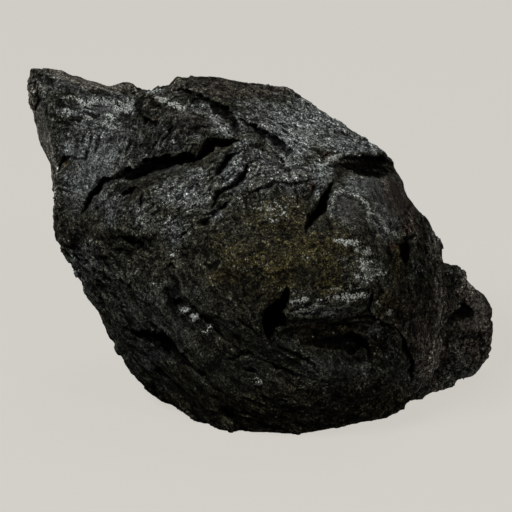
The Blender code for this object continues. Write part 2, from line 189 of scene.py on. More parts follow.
def outness(face):
    """How far out each point lies. The lobe leans far back, and counts as further out."""
    return face[:, 2] + LOBE_BACK * fade(face[:, 0], LOBE_STARTS, LOBE_REACHED)


def on_front(face):
    """1 on the front of the stone and 0 behind it."""
    return fade(outness(face), FRONT_STARTS, FRONT_REACHED)


print("share of the skin on the front:", on_front(along_face(skin_points(lump)[0])).mean().round(2))

# %% Pulling the skin
#   pull: (across, up, reach, how far across, how far up)
OUTLINE_PULLS = {
    "notch beside the horn": (-27.3, 42.4, 3.2, 0.0, -1.6),
    "wedge block's shoulder": (-21.5, 44.0, 3.6, 0.6, -1.4),
    "right shoulder": (38.5, 14.0, 5.5, -1.6, -0.2),
    "gap above the lobe": (47.0, -1.5, 2.6, 0.1, 0.2),
    "above the lobe": (55.6, -7.0, 3.2, -0.8, -0.6),
    "lobe's tip": (59.0, -15.0, 3.4, 0.8, 0.0),
    "under the lobe": (54.5, -27.5, 4.8, 1.0, -1.4),
    "left side": (-41.0, -11.0, 4.2, -1.0, -0.2),
    "left side, lower": (-36.8, -17.6, 4.0, -0.9, -0.2),
    "left side, foot": (-35.2, -21.2, 2.2, -1.0, -0.2),
}
FACE_PULLS = {
    "long cleft, foot": (-42.0, 14.0, 4.5, 1.4, -0.6),
    "long cleft, left": (-34.0, 20.0, 5.0, 0.6, -1.7),
    "long cleft, middle": (-25.0, 23.0, 5.0, 0.3, -1.8),
    "long cleft, right": (-16.0, 25.5, 5.0, 0.3, -2.0),
    "long cleft, tip": (-8.5, 28.0, 3.6, 0.3, -1.2),
    "ridges": (-8.5, 18.0, 6.0, 1.2, -1.2),
    "lower slope crack": (1.0, 30.5, 4.0, 0.6, 0.6),
    "dark pit": (5.0, -15.0, 4.5, 1.0, 0.0),
    "shelf": (20.0, -17.0, 5.0, 0.0, 0.9),
}


def pull_of(face, pulls):
    """How far these pulls move each point across and up."""
    shift = np.zeros((len(face), 2))
    weights = np.zeros(len(face))
    for across, up, reach, far_across, far_up in pulls.values():
        weight = np.exp(-np.sum((face[:, :2] - (across, up)) ** 2, axis=1) / reach**2)
        shift += weight[:, None] * (far_across, far_up)
        weights += weight
    return shift / np.maximum(weights, 1)[:, None]


def pulled(points, _):
    face = along_face(points)
    face[:, :2] += pull_of(face, OUTLINE_PULLS)
    face[:, :2] += on_front(face)[:, None] * pull_of(face, FACE_PULLS)
    return off_face(face)


move_skin(lump, pulled)

# %% [markdown]
# ## Chance that repeats
#
# Stone needs irregularity, and a lesson needs the same stone each time. So chance comes from a hash:
# whole numbers go in, and a number between 0 and 1 that looks random comes out, always the same
# one. A salt is one more whole number, and each pattern has its own, so no two are alike.
#
# Two patterns are made from it. The cloud is soft lumps and hollows. The cells are what a brittle
# mass breaks into, and each point learns which cell it is in. Blender has textures like both. Made
# here, the same numbers can carve a chip now and give that very chip its tone later.

# %% Chance
HASH_STEPS = (374761393, 668265263, 974634777)  # large odd numbers that spread neighbours apart
HASH_MIX, HASH_SALT, HASH_SHIFT = 1274126177, 2654435, 15


def chance(cells, salt):
    """A number from 0 to 1 for each row of three whole numbers."""
    cells = cells.astype(np.int64).astype(np.uint32)
    mixed = np.full(len(cells), salt * HASH_SALT + 1, np.uint32)
    for column, step in enumerate(HASH_STEPS):
        mixed = (mixed ^ (cells[:, column] * np.uint32(step))) * np.uint32(HASH_MIX)
        mixed ^= mixed >> np.uint32(HASH_SHIFT)
    return mixed / 2**32


print("a pinch of chance:", chance(np.arange(9).reshape(3, 3), 0).round(3))

# %% Clouds
def cloud(points, size, salt):
    """Soft lumps about this size across, from -1 to 1."""
    spots = points / size
    corner = np.floor(spots)
    share = eased(spots - corner)
    total = np.zeros(len(points))
    for step in np.ndindex(2, 2, 2):
        weight = np.prod(np.where(step, share, 1 - share), axis=1)
        total += weight * chance(corner + step, salt)
    return 2 * total - 1


def clouds(points, layers, salt):
    """Clouds of several sizes on top of each other. A layer: size, height."""
    return sum(height * cloud(points, size, salt + k) for k, (size, height) in enumerate(layers))


def wander(points, size, far, *salts):
    """A shift across and a shift up, each a cloud of its own, that goes this far at most."""
    return far * np.stack([cloud(points, size, salt) for salt in salts], axis=1)


print("a cloud at five points:", cloud(np.arange(15).reshape(5, 3) / 4, 1, 0).round(2))

# %% Cells
def cells(points, size, salt):
    """For each point: the vector from its cell's heart, and the cell's own three whole numbers."""
    spots = points / size
    corner = np.floor(spots)
    nearest = np.full(len(points), np.inf)
    offset = np.zeros((len(points), 3))
    owner = np.zeros((len(points), 3))
    for step in np.ndindex(3, 3, 3):
        cell = corner + step - 1
        heart = cell + np.stack([chance(cell, salt + k) for k in (1, 2, 3)], axis=1)
        gap = spots - heart
        distance = np.linalg.norm(gap, axis=1)
        nearer = distance < nearest
        nearest = np.where(nearer, distance, nearest)
        offset[nearer] = gap[nearer]
        owner[nearer] = cell[nearer]
    return offset * size, owner


print("the cell of one point:", cells(np.array([[5.2, 0.4, 7.9]]), 1, 0)[1])

# %% [markdown]
# ## Chips along the grain
#
# Where the pitch broke, its skin is a crowd of small flat chips, each tilted its own way and a
# little higher or lower than the next. In the lower left they are long splinters that run down to
# the right. On the slab they stand steep under an almost level band, and in the middle the break is
# nearly smooth. So each part of the front has a grain: a slope along which its chips are drawn out.
#
# A bump map could draw such chips, but it leaves the outline smooth and casts no shadow. These move
# the points, so they show on the outline and shade each other.

# %% The parts of the front and their grain
#   part: (across, up, reach, slope in degrees, stretch, size, tilt, step)
GRAIN = {
    "horn": (-53, 40, 6, -10, 2.2, 1.8, 0.24, 0.50),
    "slab's upper band": (-42, 36.5, 7, -8, 2.6, 1.8, 0.36, 1.1),
    "slab's top rim": (-39, 44, 5, -8, 3.0, 1.8, 0.06, 0.12),
    "lobe's rim": (57, -13, 4.5, 60, 2.0, 1.8, 0.04, 0.08),
    "left side band": (-54, 30, 4, 75, 3.0, 1.8, 0.04, 0.08),
    "slab": (-40, 25, 9, 62, 2.6, 1.8, 0.07, 0.14),
    "slab's foot": (-46, 10, 7, -15, 2.6, 1.6, 0.28, 0.70),
    "wedge block": (-22, 35, 8, 62, 2.4, 1.6, 0.30, 0.75),
    "wedge block's right": (-13, 34, 6, -6, 3.0, 1.6, 0.30, 0.75),
    "top slope": (14, 36, 14, -36, 1.6, 1.25, 0.20, 0.28),
    "middle left": (-27, 13, 12, 28, 1.8, 1.6, 0.18, 0.40),
    "ridges": (-4, 21, 9, 46, 2.8, 1.6, 0.30, 0.80),
    "beside the ridges": (9, 22, 6, -48, 2.0, 1.6, 0.26, 0.60),
    "bulge": (8, -2, 14, 20, 1.4, 1.7, 0.14, 0.26),
    "fringe": (3, 12, 7, -58, 3.2, 1.5, 0.26, 0.55),
    "right shoulder": (24, 12, 8, 60, 1.2, 2.0, 0.03, 0.04),
    "glittering part": (26, 0, 6, -30, 1.3, 1.5, 0.24, 0.50),
    "ledge": (18, -12, 7, 2, 4.0, 1.5, 0.30, 0.65),
    "right flank": (40, -4, 9, 80, 1.8, 1.7, 0.32, 0.90),
    "lower flank": (43, -24, 9, 84, 1.8, 1.6, 0.20, 0.45),
    "lobe": (54, -18, 9, 55, 1.3, 1.6, 0.24, 0.55),
    "left shoulder": (-38, -1, 10, -42, 2.6, 1.6, 0.32, 0.90),
    "lower left": (-24, -20, 16, -43, 3.0, 1.7, 0.13, 0.42),
    "smooth splinter": (-17, -20, 6, -43, 3.6, 1.9, 0.05, 0.10),
    "splinter's foot": (-8, -30, 6, -42, 3.6, 1.9, 0.06, 0.12),
    "low middle": (6, -32, 15, -33, 3.0, 1.9, 0.14, 0.42),
    "low right": (29, -27, 10, -30, 2.0, 1.8, 0.20, 0.55),
}
BACK_GRAIN = (1.4, 2.8, 0.18, 0.42)  # stretch, size, tilt, step
print(len(GRAIN), "parts")

# %% Which part a point belongs to
BACK_STARTS, BACK_REACHED = -10.0, -20.0  # out, in millimetres
BACK_WEIGHT = 2  # the back's grain counts this much, where a part counts 1 in its middle
WANDER = (2.6, 0.6, 1, 2)  # size, how far, and two salts: it blurs the borders between the parts


def wandering_face(points):
    face = along_face(points)
    face[:, :2] += wander(points, *WANDER)
    return face


def back_weight(face):
    """How much the plain grain of the back counts at each point."""
    return BACK_WEIGHT * fade(outness(face), BACK_STARTS, BACK_REACHED)


def part_weights(face):
    """How much each part's grain counts at each point."""
    weights = []
    for across, up, reach, *_ in GRAIN.values():
        gap = face[:, :2] - (across, up)
        weights.append(np.exp(-np.sum(gap**2, axis=1) / reach**2) * (outness(face) > BACK_REACHED))
    return weights


def along_grain(face, middle, slope):
    """Points of the face turned so that the first axis runs along the grain."""
    turn = math.radians(slope)
    gap = face[:, :2] - middle
    along = gap @ (math.cos(turn), math.sin(turn))
    over = gap @ (-math.sin(turn), math.cos(turn))
    return np.stack([along, over, face[:, 2]], axis=1)


back_share = back_weight(wandering_face(skin_points(lump)[0])).mean() / BACK_WEIGHT
print("share of the skin with the back's grain:", back_share.round(2))

# %% Breaking the skin into chips
BROAD = 2.6  # the broad chips are this much larger than the small ones
BROAD_TILT, BROAD_STEP = 0.75, 0.8  # and tilted and stepped by this share of what those are
LEAN_SALTS, STEP_SALT, BROAD_SALT = (11, 12, 13), 14, 500
SALTS_A_PART = 20  # the salts that each part has to itself
LEAST_WEIGHT = 0.02  # a part that counts less than this at a point is left out there
LEAST_TOTAL = 0.3  # and where all of them count little, the chips are low


def chips(points, stretch, size, tilt, step, salt):
    """The height of flat chips that are drawn out along the first axis."""
    offset, owner = cells(points / (stretch, 1, 1), size, salt)
    lean = np.stack([chance(owner, salt + k) - 0.5 for k in LEAN_SALTS], axis=1)
    height = (chance(owner, salt + STEP_SALT) - 0.5) * step
    return np.sum(offset * lean, axis=1) * 2 * tilt + height


def two_sizes(points, stretch, size, tilt, step, salt=0):
    """Broad chips with small chips on them."""
    broad = (size * BROAD, tilt * BROAD_TILT, step * BROAD_STEP)
    return chips(points, stretch, *broad, salt + BROAD_SALT) + chips(points, stretch, size, tilt, step, salt)


def grained(points, normals):
    """The skin with its chips, blended from one part's grain to the next."""
    face = wandering_face(points)
    total = back_weight(face)
    height = total * two_sizes(points, *BACK_GRAIN)
    parts = zip(part_weights(face), GRAIN.values())
    for number, (weight, (across, up, _, slope, *kind)) in enumerate(parts):
        near = weight > LEAST_WEIGHT
        turned = along_grain(face[near], (across, up), slope)
        height[near] += weight[near] * two_sizes(turned, *kind, SALTS_A_PART * number)
        total += weight
    return points + normals * (height / np.maximum(total, LEAST_TOTAL))[:, None]


move_skin(lump, grained)

# %% [markdown]
# ## Ribs
#
# A crack that runs through glass or pitch leaves fine ribs in its path. Under the broken ridges
# they hang down the bulge like a fringe, across the lower ledge they lie level, and in the lower left
# they follow the splinters. Each rib could be a lip of its own, as below, but there are hundreds. So
# a rib is a wave across its own line. The wave's phase is bent by a soft cloud, so no two ribs are
# quite parallel, and another cloud lets them fade in and out.

# %% Cutting the ribs
#   ribs: (across, up, reach across, reach up, slope, spacing, height)
RIBS = {
    "fringe under the ridges": (3, 13.5, 12, 3.2, -62, 1.2, 0.16),
    "ledge": (18, -12.5, 9, 2.2, 2, 1.3, 0.16),
    "splinters, lower left": (-28, -24, 7, 8, -43, 2.1, 0.07),
    "splinters, low middle": (8, -30, 15, 8, -32, 2.0, 0.07),
    "strokes on the slab": (-38, 27, 7, 4, 66, 1.9, 0.12),
    "strokes by the wedge block": (-24, 30, 5, 4, 60, 1.3, 0.20),
    "slab's upper band": (-42, 36, 10, 4, -5, 1.8, 0.20),
    "wedge block's face": (-14, 31.5, 5, 2.6, -6, 1.4, 0.20),
    "left shoulder": (-42, -1.5, 5, 6, -44, 1.4, 0.22),
}
RIB_BEND = (2.5, 3.5, 0.9)  # how far the bending cloud is drawn out, its size, how much it bends
RIB_FADE = (3, 2.2)  # how far the fading cloud is drawn out, and its size
RIB_GONE, RIB_FULL = -0.45, 0.35  # where that cloud makes a rib vanish, and where it leaves it whole
BEND_SALT, FADE_SALT = 100, 130
LEAST_RIB = 0.03


def ribbed(points, normals):
    face = along_face(points)
    height = np.zeros(len(points))
    drawn_out, bend_size, bent_by = RIB_BEND
    fade_drawn_out, fade_size = RIB_FADE
    for number, (across, up, *reach, slope, spacing, rib) in enumerate(RIBS.values()):
        gap = (face[:, :2] - (across, up)) / reach
        weight = np.exp(-np.sum(gap**2, axis=1)) * (face[:, 2] > BACK_REACHED)
        near = weight > LEAST_RIB
        turned = along_grain(face[near], (across, up), slope)
        bend = bent_by * cloud(turned / (drawn_out, 1, 1), bend_size, BEND_SALT + number)
        wave = np.sin((turned[:, 1] / spacing + bend) * 2 * math.pi)
        presence = cloud(turned / (fade_drawn_out, 1, 1), fade_size, FADE_SALT + number)
        height[near] += weight[near] * rib * wave * fade(presence, RIB_GONE, RIB_FULL)
    return points + normals * height[:, None]


move_skin(lump, ribbed)

# %% [markdown]
# ## Clefts and ledges, cut sharp
#
# The solid already has the clefts, but a coarse skin rounds their lips. Boolean cutters would make
# them sharp, yet each cutter would have to be modelled. So the same lips are cut again in the fine
# skin, by moving its points. A lip is a line along the face. The skin to its right is pushed in by
# the lip's depth and comes back within its width, and the skin to its left stays. One list of
# corners gives a crack where it is narrow and a ledge where it is wide, and a depth below zero
# raises a bank or a rim instead.

# %% The lips of the large clefts
#   lip: corners of (across, up, width, depth)
LIPS = {
    "long cleft": [
        (-43.6, 10.4, 0.5, 0.7), (-41.7, 13.4, 1.1, 3.0), (-40.6, 15.4, 1.3, 4.0), (-39.5, 16.6, 1.6, 4.5),
        (-38.8, 18.4, 1.9, 5.0), (-36.6, 18.9, 1.0, 4.5), (-34.2, 19.6, 0.9, 4.5), (-32.2, 20.7, 1.8, 6.0),
        (-30.2, 21.1, 3.2, 7.0), (-28.0, 22.3, 3.4, 7.0), (-25.6, 23.6, 3.3, 7.0), (-21.6, 24.6, 2.9, 7.0),
        (-19.8, 24.3, 2.1, 7.0), (-17.0, 24.4, 1.8, 6.5), (-14.8, 24.8, 1.7, 5.5), (-13.2, 26.2, 2.4, 6.5),
        (-12.0, 28.4, 3.4, 7.0), (-10.4, 28.9, 3.0, 6.5), (-9.0, 28.1, 1.6, 5.5), (-6.8, 28.2, 1.2, 4.5),
        (-5.2, 28.6, 1.0, 3.5), (-3.0, 28.2, 0.7, 0.8),
    ],
    "long cleft's lower bank": [
        (-42.4, 10.8, 1.5, -0.4), (-40.4, 13.6, 2.4, -1.8), (-38.3, 16.0, 2.6, -2.2),
        (-36.6, 17.6, 2.6, -2.2), (-34.0, 18.9, 2.4, -1.8), (-32.0, 19.3, 1.6, -0.8),
        (-29.6, 18.9, 1.6, -0.8), (-27.0, 20.0, 2.0, -1.0), (-22.0, 21.6, 2.0, -1.0),
        (-17.0, 22.9, 1.6, -0.8), (-13.0, 24.2, 1.2, -0.4),
    ],
    "hollow under the slope": [
        (19.6, 23.4, 0.6, 0.6), (21.4, 24.5, 1.8, 2.4), (24.0, 24.9, 2.8, 4.2), (27.5, 25.0, 3.0, 5.0),
        (31.0, 24.6, 3.0, 5.0), (33.6, 23.6, 2.2, 3.0), (35.8, 22.4, 1.2, 1.0),
    ],
    "hollow behind the shoulder": [
        (35.6, 21.4, 0.8, 0.6), (33.4, 20.6, 2.2, 3.6), (31.2, 19.9, 3.2, 6.0), (28.0, 19.6, 3.8, 7.5),
        (25.4, 20.1, 3.3, 7.0), (24.0, 21.3, 2.2, 5.5), (22.2, 21.7, 1.8, 4.5), (20.3, 22.1, 0.8, 1.6),
    ],
    "nick beside the hollow": [
        (16.0, 22.6, 0.6, 0.5), (16.3, 24.2, 1.3, 1.6), (17.6, 25.4, 1.5, 1.6), (20.2, 25.8, 0.6, 0.6),
    ],
    "step cleft": [
        (11.7, 5.6, 0.6, 0.8), (11.7, 7.2, 1.4, 3.0), (12.7, 9.2, 1.9, 4.5), (13.8, 11.0, 2.7, 6.0),
        (14.8, 12.6, 2.9, 6.5), (16.0, 14.6, 1.8, 6.0), (17.0, 16.0, 1.3, 4.5), (17.9, 17.4, 1.0, 3.5),
        (18.8, 18.7, 0.5, 1.0),
    ],
    "step cleft's left bank": [
        (18.0, 18.2, 1.0, -0.4), (16.8, 16.2, 2.0, -1.8), (15.8, 14.6, 2.2, -2.4), (14.6, 12.8, 1.8, -1.6),
        (13.5, 11.0, 1.0, -0.4),
    ],
    "dark pit": [
        (3.0, -20.2, 2.2, 1.5), (2.0, -18.4, 3.8, 4.5), (1.5, -16.0, 5.8, 7.0), (1.9, -14.6, 6.6, 8.0),
        (2.8, -13.6, 5.9, 8.0), (2.9, -12.1, 5.6, 8.0), (5.6, -10.8, 2.8, 7.0), (6.6, -9.8, 1.4, 6.0),
        (6.9, -8.6, 0.8, 4.0), (7.2, -7.4, 0.4, 1.0),
    ],
    "chip in the pit": [
        (4.4, -19.4, 0.5, -1.0), (3.9, -18.2, 0.9, -5.0), (3.4, -17.0, 0.9, -6.0), (2.9, -16.0, 0.4, -1.0),
    ],
}
print(len(LIPS), "lips")

# %% The lips of the slope, the wedge block and the slab
LIPS |= {
    "upper slope crack, first piece": [
        (-20.6, 41.6, 0.6, 0.6), (-18.4, 41.6, 1.6, 2.2), (-16.0, 41.0, 1.6, 2.6), (-13.6, 40.3, 1.0, 1.4),
    ],
    "upper slope crack": [
        (-13.4, 39.9, 1.2, 1.6), (-11.0, 38.6, 1.9, 3.0), (-9.4, 37.4, 2.6, 4.0), (-7.0, 36.9, 2.9, 4.0),
        (-5.6, 34.4, 2.0, 3.4), (-4.5, 32.2, 1.7, 3.0), (-4.1, 30.2, 1.0, 1.2),
    ],
    "lower slope crack": [
        (-3.6, 33.8, 0.9, 1.0), (-1.4, 32.9, 1.4, 2.4), (0.6, 31.8, 1.3, 2.8), (2.6, 30.7, 1.7, 3.6),
        (5.0, 29.2, 2.5, 4.4), (6.6, 27.7, 2.7, 4.4), (8.0, 26.3, 2.0, 3.4), (9.6, 25.8, 0.8, 0.8),
    ],
    "lower slope crack, branch": [
        (5.4, 24.6, 0.6, 0.6), (6.7, 23.4, 1.3, 2.0), (6.9, 22.0, 1.6, 2.4), (8.2, 20.8, 1.5, 2.2),
        (8.4, 19.4, 0.6, 0.6),
    ],
    "slope line": [
        (5.2, 25.2, 0.5, 0.4), (2.0, 25.8, 0.7, 0.8), (-0.6, 26.8, 0.7, 0.9), (-2.6, 27.9, 0.6, 0.5),
    ],
    "wedge block's left edge": [
        (-28.4, 41.0, 0.5, 0.3), (-29.3, 39.6, 1.0, 1.2), (-29.5, 37.6, 1.6, 2.2), (-28.8, 35.2, 1.0, 1.0),
    ],
    "holes on the wedge block": [
        (-28.0, 35.0, 0.8, 0.8), (-27.0, 33.9, 1.6, 2.4), (-25.6, 33.3, 1.7, 2.6), (-24.6, 32.2, 0.8, 0.9),
    ],
    "upper hole on the wedge block": [
        (-26.4, 40.0, 0.8, 0.8), (-25.2, 38.4, 1.6, 2.0), (-23.8, 37.4, 1.5, 1.8), (-22.8, 36.2, 0.7, 0.6),
    ],
    "dark spot on the wedge block": [
        (-16.4, 39.6, 0.9, 0.8), (-15.6, 39.2, 1.9, 2.2), (-13.8, 39.4, 1.5, 1.8), (-12.6, 38.6, 0.6, 0.5),
    ],
    "strokes by the block": [
        (-22.9, 28.2, 0.6, 0.6), (-22.2, 29.8, 1.0, 1.4), (-20.9, 31.4, 0.9, 1.3), (-20.4, 32.6, 0.5, 0.4),
    ],
    "second stroke": [(-25.4, 27.2, 0.5, 0.4), (-24.6, 28.6, 0.7, 0.8), (-23.8, 30.6, 0.5, 0.4)],
    "long stroke on the slab": [(-39.8, 25.4, 0.4, 0.4), (-39.3, 27.6, 0.5, 0.7), (-38.8, 29.8, 0.4, 0.3)],
    "short stroke on the slab": [(-42.2, 24.2, 0.4, 0.4), (-41.8, 26.6, 0.5, 0.5), (-40.6, 30.0, 0.4, 0.3)],
    "stroke at the slab's edge": [(-32.4, 25.0, 0.4, 0.4), (-31.8, 27.0, 0.5, 0.8), (-31.0, 28.6, 0.4, 0.4)],
    "level lines on the slab's left": [
        (-49.4, 18.3, 0.4, 0.4), (-47.6, 17.6, 0.5, 0.8), (-45.4, 17.2, 0.4, 0.4),
    ],
    "lower level line": [(-49.0, 16.8, 0.4, 0.4), (-47.2, 16.3, 0.5, 0.8), (-45.0, 15.6, 0.4, 0.4)],
    "dash on the slab's band": [(-48.2, 40.1, 0.4, 0.4), (-46.8, 40.6, 0.8, 1.4), (-45.4, 40.4, 0.5, 0.5)],
    "lower dash on the band": [(-46.6, 33.7, 0.4, 0.4), (-45.4, 34.0, 0.7, 1.2), (-44.2, 33.8, 0.4, 0.4)],
    "crack above the cleft": [(-16.6, 24.6, 0.7, 0.9), (-16.2, 26.0, 0.8, 1.4), (-15.4, 26.9, 0.5, 0.5)],
    "crack in the block's face": [
        (-16.4, 31.6, 0.5, 0.4), (-14.6, 32.1, 0.8, 1.0), (-12.6, 32.0, 0.9, 1.2), (-11.2, 31.8, 0.5, 0.4),
    ],
}
print(len(LIPS), "lips")

# %% The lips of the ridges and the ledge
LIPS |= {
    "short ridge crack": [
        (-12.3, 17.3, 0.5, 0.4), (-10.6, 19.8, 0.9, 1.2), (-9.6, 21.2, 2.2, 3.4), (-8.4, 23.0, 2.8, 4.0),
        (-6.8, 24.8, 2.2, 3.2), (-4.8, 25.4, 0.8, 0.8),
    ],
    "long ridge crack": [
        (-10.5, 12.4, 0.9, 1.0), (-10.3, 13.9, 1.1, 2.2), (-9.2, 15.5, 1.1, 2.8), (-7.4, 16.7, 1.0, 2.8),
        (-5.2, 18.1, 1.6, 3.2), (-4.0, 19.6, 2.2, 3.4), (-3.2, 21.4, 2.1, 2.8), (-2.4, 22.8, 0.9, 0.8),
    ],
    "lower ridge crack": [
        (-12.8, 10.2, 0.6, 0.6), (-10.6, 10.8, 1.4, 2.2), (-9.2, 11.6, 1.1, 2.0), (-7.4, 12.9, 0.9, 1.4),
        (-6.0, 13.8, 0.5, 0.4),
    ],
    "nick under the ridges": [(-14.2, 8.2, 0.8, 0.8), (-12.6, 8.8, 1.9, 2.4), (-11.0, 9.6, 0.9, 0.9)],
    "crack in the middle left": [(-18.6, 4.8, 0.5, 0.4), (-17.6, 5.9, 0.9, 1.6), (-16.4, 6.5, 0.6, 0.5)],
    "below the cleft": [
        (-33.4, 14.9, 0.8, 0.8), (-32.4, 16.1, 1.6, 3.0), (-30.6, 16.9, 1.8, 3.2), (-29.2, 16.8, 0.9, 1.0),
    ],
    "short upright crack": [(-28.4, 10.8, 0.5, 0.5), (-28.4, 12.4, 0.9, 1.6), (-28.4, 14.2, 0.8, 1.2)],
    "left of the ledge's end": [(23.8, -14.4, 0.4, 0.3), (25.6, -13.5, 0.7, 1.0), (27.2, -12.6, 0.6, 0.8)],
    "end of the ledge": [
        (28.4, -8.6, 0.6, 0.6), (28.0, -10.4, 0.9, 2.4), (27.4, -12.4, 0.8, 1.8), (27.8, -13.6, 0.5, 0.5),
    ],
    "first crack on the ledge": [(9.0, -12.3, 0.5, 0.4), (10.4, -12.1, 0.7, 1.0), (12.2, -12.3, 0.4, 0.3)],
    "second crack on the ledge": [(9.4, -13.5, 0.5, 0.3), (11.4, -13.4, 0.6, 0.6), (13.4, -13.5, 0.4, 0.3)],
    "shelf": [
        (8.8, -15.4, 1.0, 0.4), (12.0, -15.1, 1.6, 0.6), (17.0, -15.0, 2.2, 0.8), (22.0, -15.0, 2.4, 1.0),
        (25.4, -14.6, 2.6, 1.6), (27.6, -13.9, 2.8, 2.4), (29.0, -14.8, 2.9, 2.6), (30.8, -16.2, 2.2, 1.8),
        (32.8, -17.0, 2.2, 1.0), (34.6, -18.4, 1.2, 1.2), (36.0, -20.2, 0.9, 2.0), (37.2, -22.6, 1.3, 3.0),
        (38.4, -25.4, 1.6, 3.4), (38.9, -29.0, 1.3, 3.0), (38.9, -31.6, 0.7, 0.8),
    ],
    "hollow under the shelf": [
        (12.4, -20.6, 1.2, 1.0), (15.0, -20.2, 2.4, 2.0), (18.5, -19.9, 3.0, 2.6), (22.4, -19.5, 4.2, 4.2),
        (25.6, -19.8, 4.8, 5.6), (27.2, -21.2, 3.4, 3.8), (27.6, -23.0, 2.0, 1.8), (28.2, -24.6, 1.0, 0.6),
    ],
}
print(len(LIPS), "lips")

# %% The lips of the lower left
LIPS |= {
    "sweep": [
        (-30.0, -18.6, 0.8, 0.6), (-27.8, -18.6, 2.2, 2.8), (-25.0, -18.8, 3.0, 4.4),
        (-22.4, -19.1, 3.8, 5.8), (-20.8, -20.6, 3.8, 6.0), (-19.2, -22.6, 3.2, 5.8),
        (-17.6, -24.3, 2.2, 4.6), (-15.4, -26.6, 1.2, 3.0), (-13.4, -28.5, 0.9, 1.8),
        (-11.6, -30.4, 0.5, 0.5),
    ],
    "line above the sweep": [
        (-27.0, -15.2, 0.5, 0.5), (-25.0, -16.8, 0.9, 1.4), (-22.6, -18.3, 0.9, 1.4),
        (-20.8, -19.6, 0.5, 0.5),
    ],
    "splinter under the pit": [
        (4.4, -20.2, 0.6, 0.5), (6.8, -22.0, 0.9, 1.2), (9.2, -23.0, 1.0, 1.4), (11.2, -24.4, 1.1, 1.6),
        (14.2, -26.2, 1.0, 1.4), (15.4, -28.2, 0.5, 0.4),
    ],
    "splinter below it": [
        (0.2, -24.2, 0.5, 0.3), (3.4, -25.1, 0.9, 1.0), (5.6, -26.7, 1.2, 1.8), (8.0, -27.8, 1.0, 1.4),
        (11.4, -29.0, 0.5, 0.4),
    ],
    "splinter in the middle": [
        (-4.4, -15.2, 0.5, 0.4), (-2.6, -16.3, 0.9, 1.4), (-0.4, -17.8, 1.0, 1.4), (1.0, -19.2, 0.6, 0.5),
    ],
    "thin splinter, left": [(-10.4, -16.8, 0.4, 0.4), (-9.2, -18.0, 0.7, 1.1), (-7.8, -19.6, 0.5, 0.4)],
    "thin splinter, low": [
        (-13.6, -28.2, 0.4, 0.4), (-11.6, -29.8, 0.7, 1.1), (-9.6, -32.0, 0.7, 1.1), (-7.8, -33.6, 0.4, 0.4),
    ],
    "chipped hollow": [
        (-8.0, -24.4, 0.5, 0.4), (-5.6, -24.4, 0.8, 0.9), (-3.8, -23.0, 1.6, 1.4), (-1.6, -22.4, 2.0, 1.6),
        (-0.6, -24.0, 0.9, 0.8),
    ],
    "black spot": [(-2.6, -27.6, 0.5, 0.5), (-1.4, -27.6, 1.1, 2.0), (0.2, -27.9, 0.6, 0.6)],
    "left splinter": [
        (-21.0, -3.6, 0.6, 0.5), (-19.0, -6.6, 1.0, 1.2), (-17.6, -9.8, 1.1, 1.4), (-14.0, -13.0, 0.9, 1.0),
        (-9.0, -18.0, 0.9, 1.0), (-4.0, -22.6, 0.6, 0.4),
    ],
    "hole on the left": [
        (-20.0, -12.8, 0.8, 0.8), (-19.7, -11.2, 1.6, 2.6), (-18.4, -10.4, 1.4, 2.4),
        (-17.0, -11.0, 0.7, 1.0),
    ],
    "upper hole on the left": [(-21.8, -3.0, 0.6, 0.6), (-20.8, -1.4, 1.6, 1.8), (-19.4, -2.6, 0.8, 0.8)],
    "dark patch, top": [
        (-32.4, 4.8, 0.8, 0.6), (-30.2, 4.0, 1.5, 1.4), (-27.8, 3.2, 2.0, 1.9), (-26.0, 1.6, 1.5, 1.4),
        (-25.2, 0.2, 0.6, 0.5),
    ],
    "dark patch, middle": [
        (-35.4, 1.6, 0.8, 0.8), (-33.6, 1.9, 1.6, 2.0), (-31.0, 1.6, 1.4, 1.4), (-28.0, 2.2, 1.0, 1.0),
    ],
    "dark patch, foot": [(-38.4, -0.4, 0.7, 0.6), (-37.0, -0.2, 1.3, 1.6), (-35.4, -0.8, 0.8, 0.8)],
    "left stroke": [
        (-46.2, 1.6, 0.5, 0.4), (-44.0, 0.2, 0.8, 1.2), (-42.2, -1.2, 0.8, 1.0), (-40.2, -3.4, 0.5, 0.3),
    ],
    "second left stroke": [(-43.6, 1.2, 0.4, 0.4), (-41.8, -0.2, 0.7, 0.8), (-40.2, -1.8, 0.4, 0.3)],
    "left hollow": [
        (-40.0, -5.6, 0.6, 0.6), (-38.6, -5.8, 1.8, 2.4), (-37.4, -7.4, 1.8, 2.4), (-36.4, -9.6, 0.8, 1.0),
    ],
    "left splinter crack": [(-36.6, -7.6, 0.5, 0.4), (-34.4, -9.6, 0.9, 1.3), (-32.4, -11.4, 0.5, 0.5)],
    "left nick": [(-33.8, -12.0, 0.6, 0.6), (-32.8, -11.8, 1.0, 1.4), (-31.8, -12.4, 0.5, 0.5)],
}
print(len(LIPS), "lips")

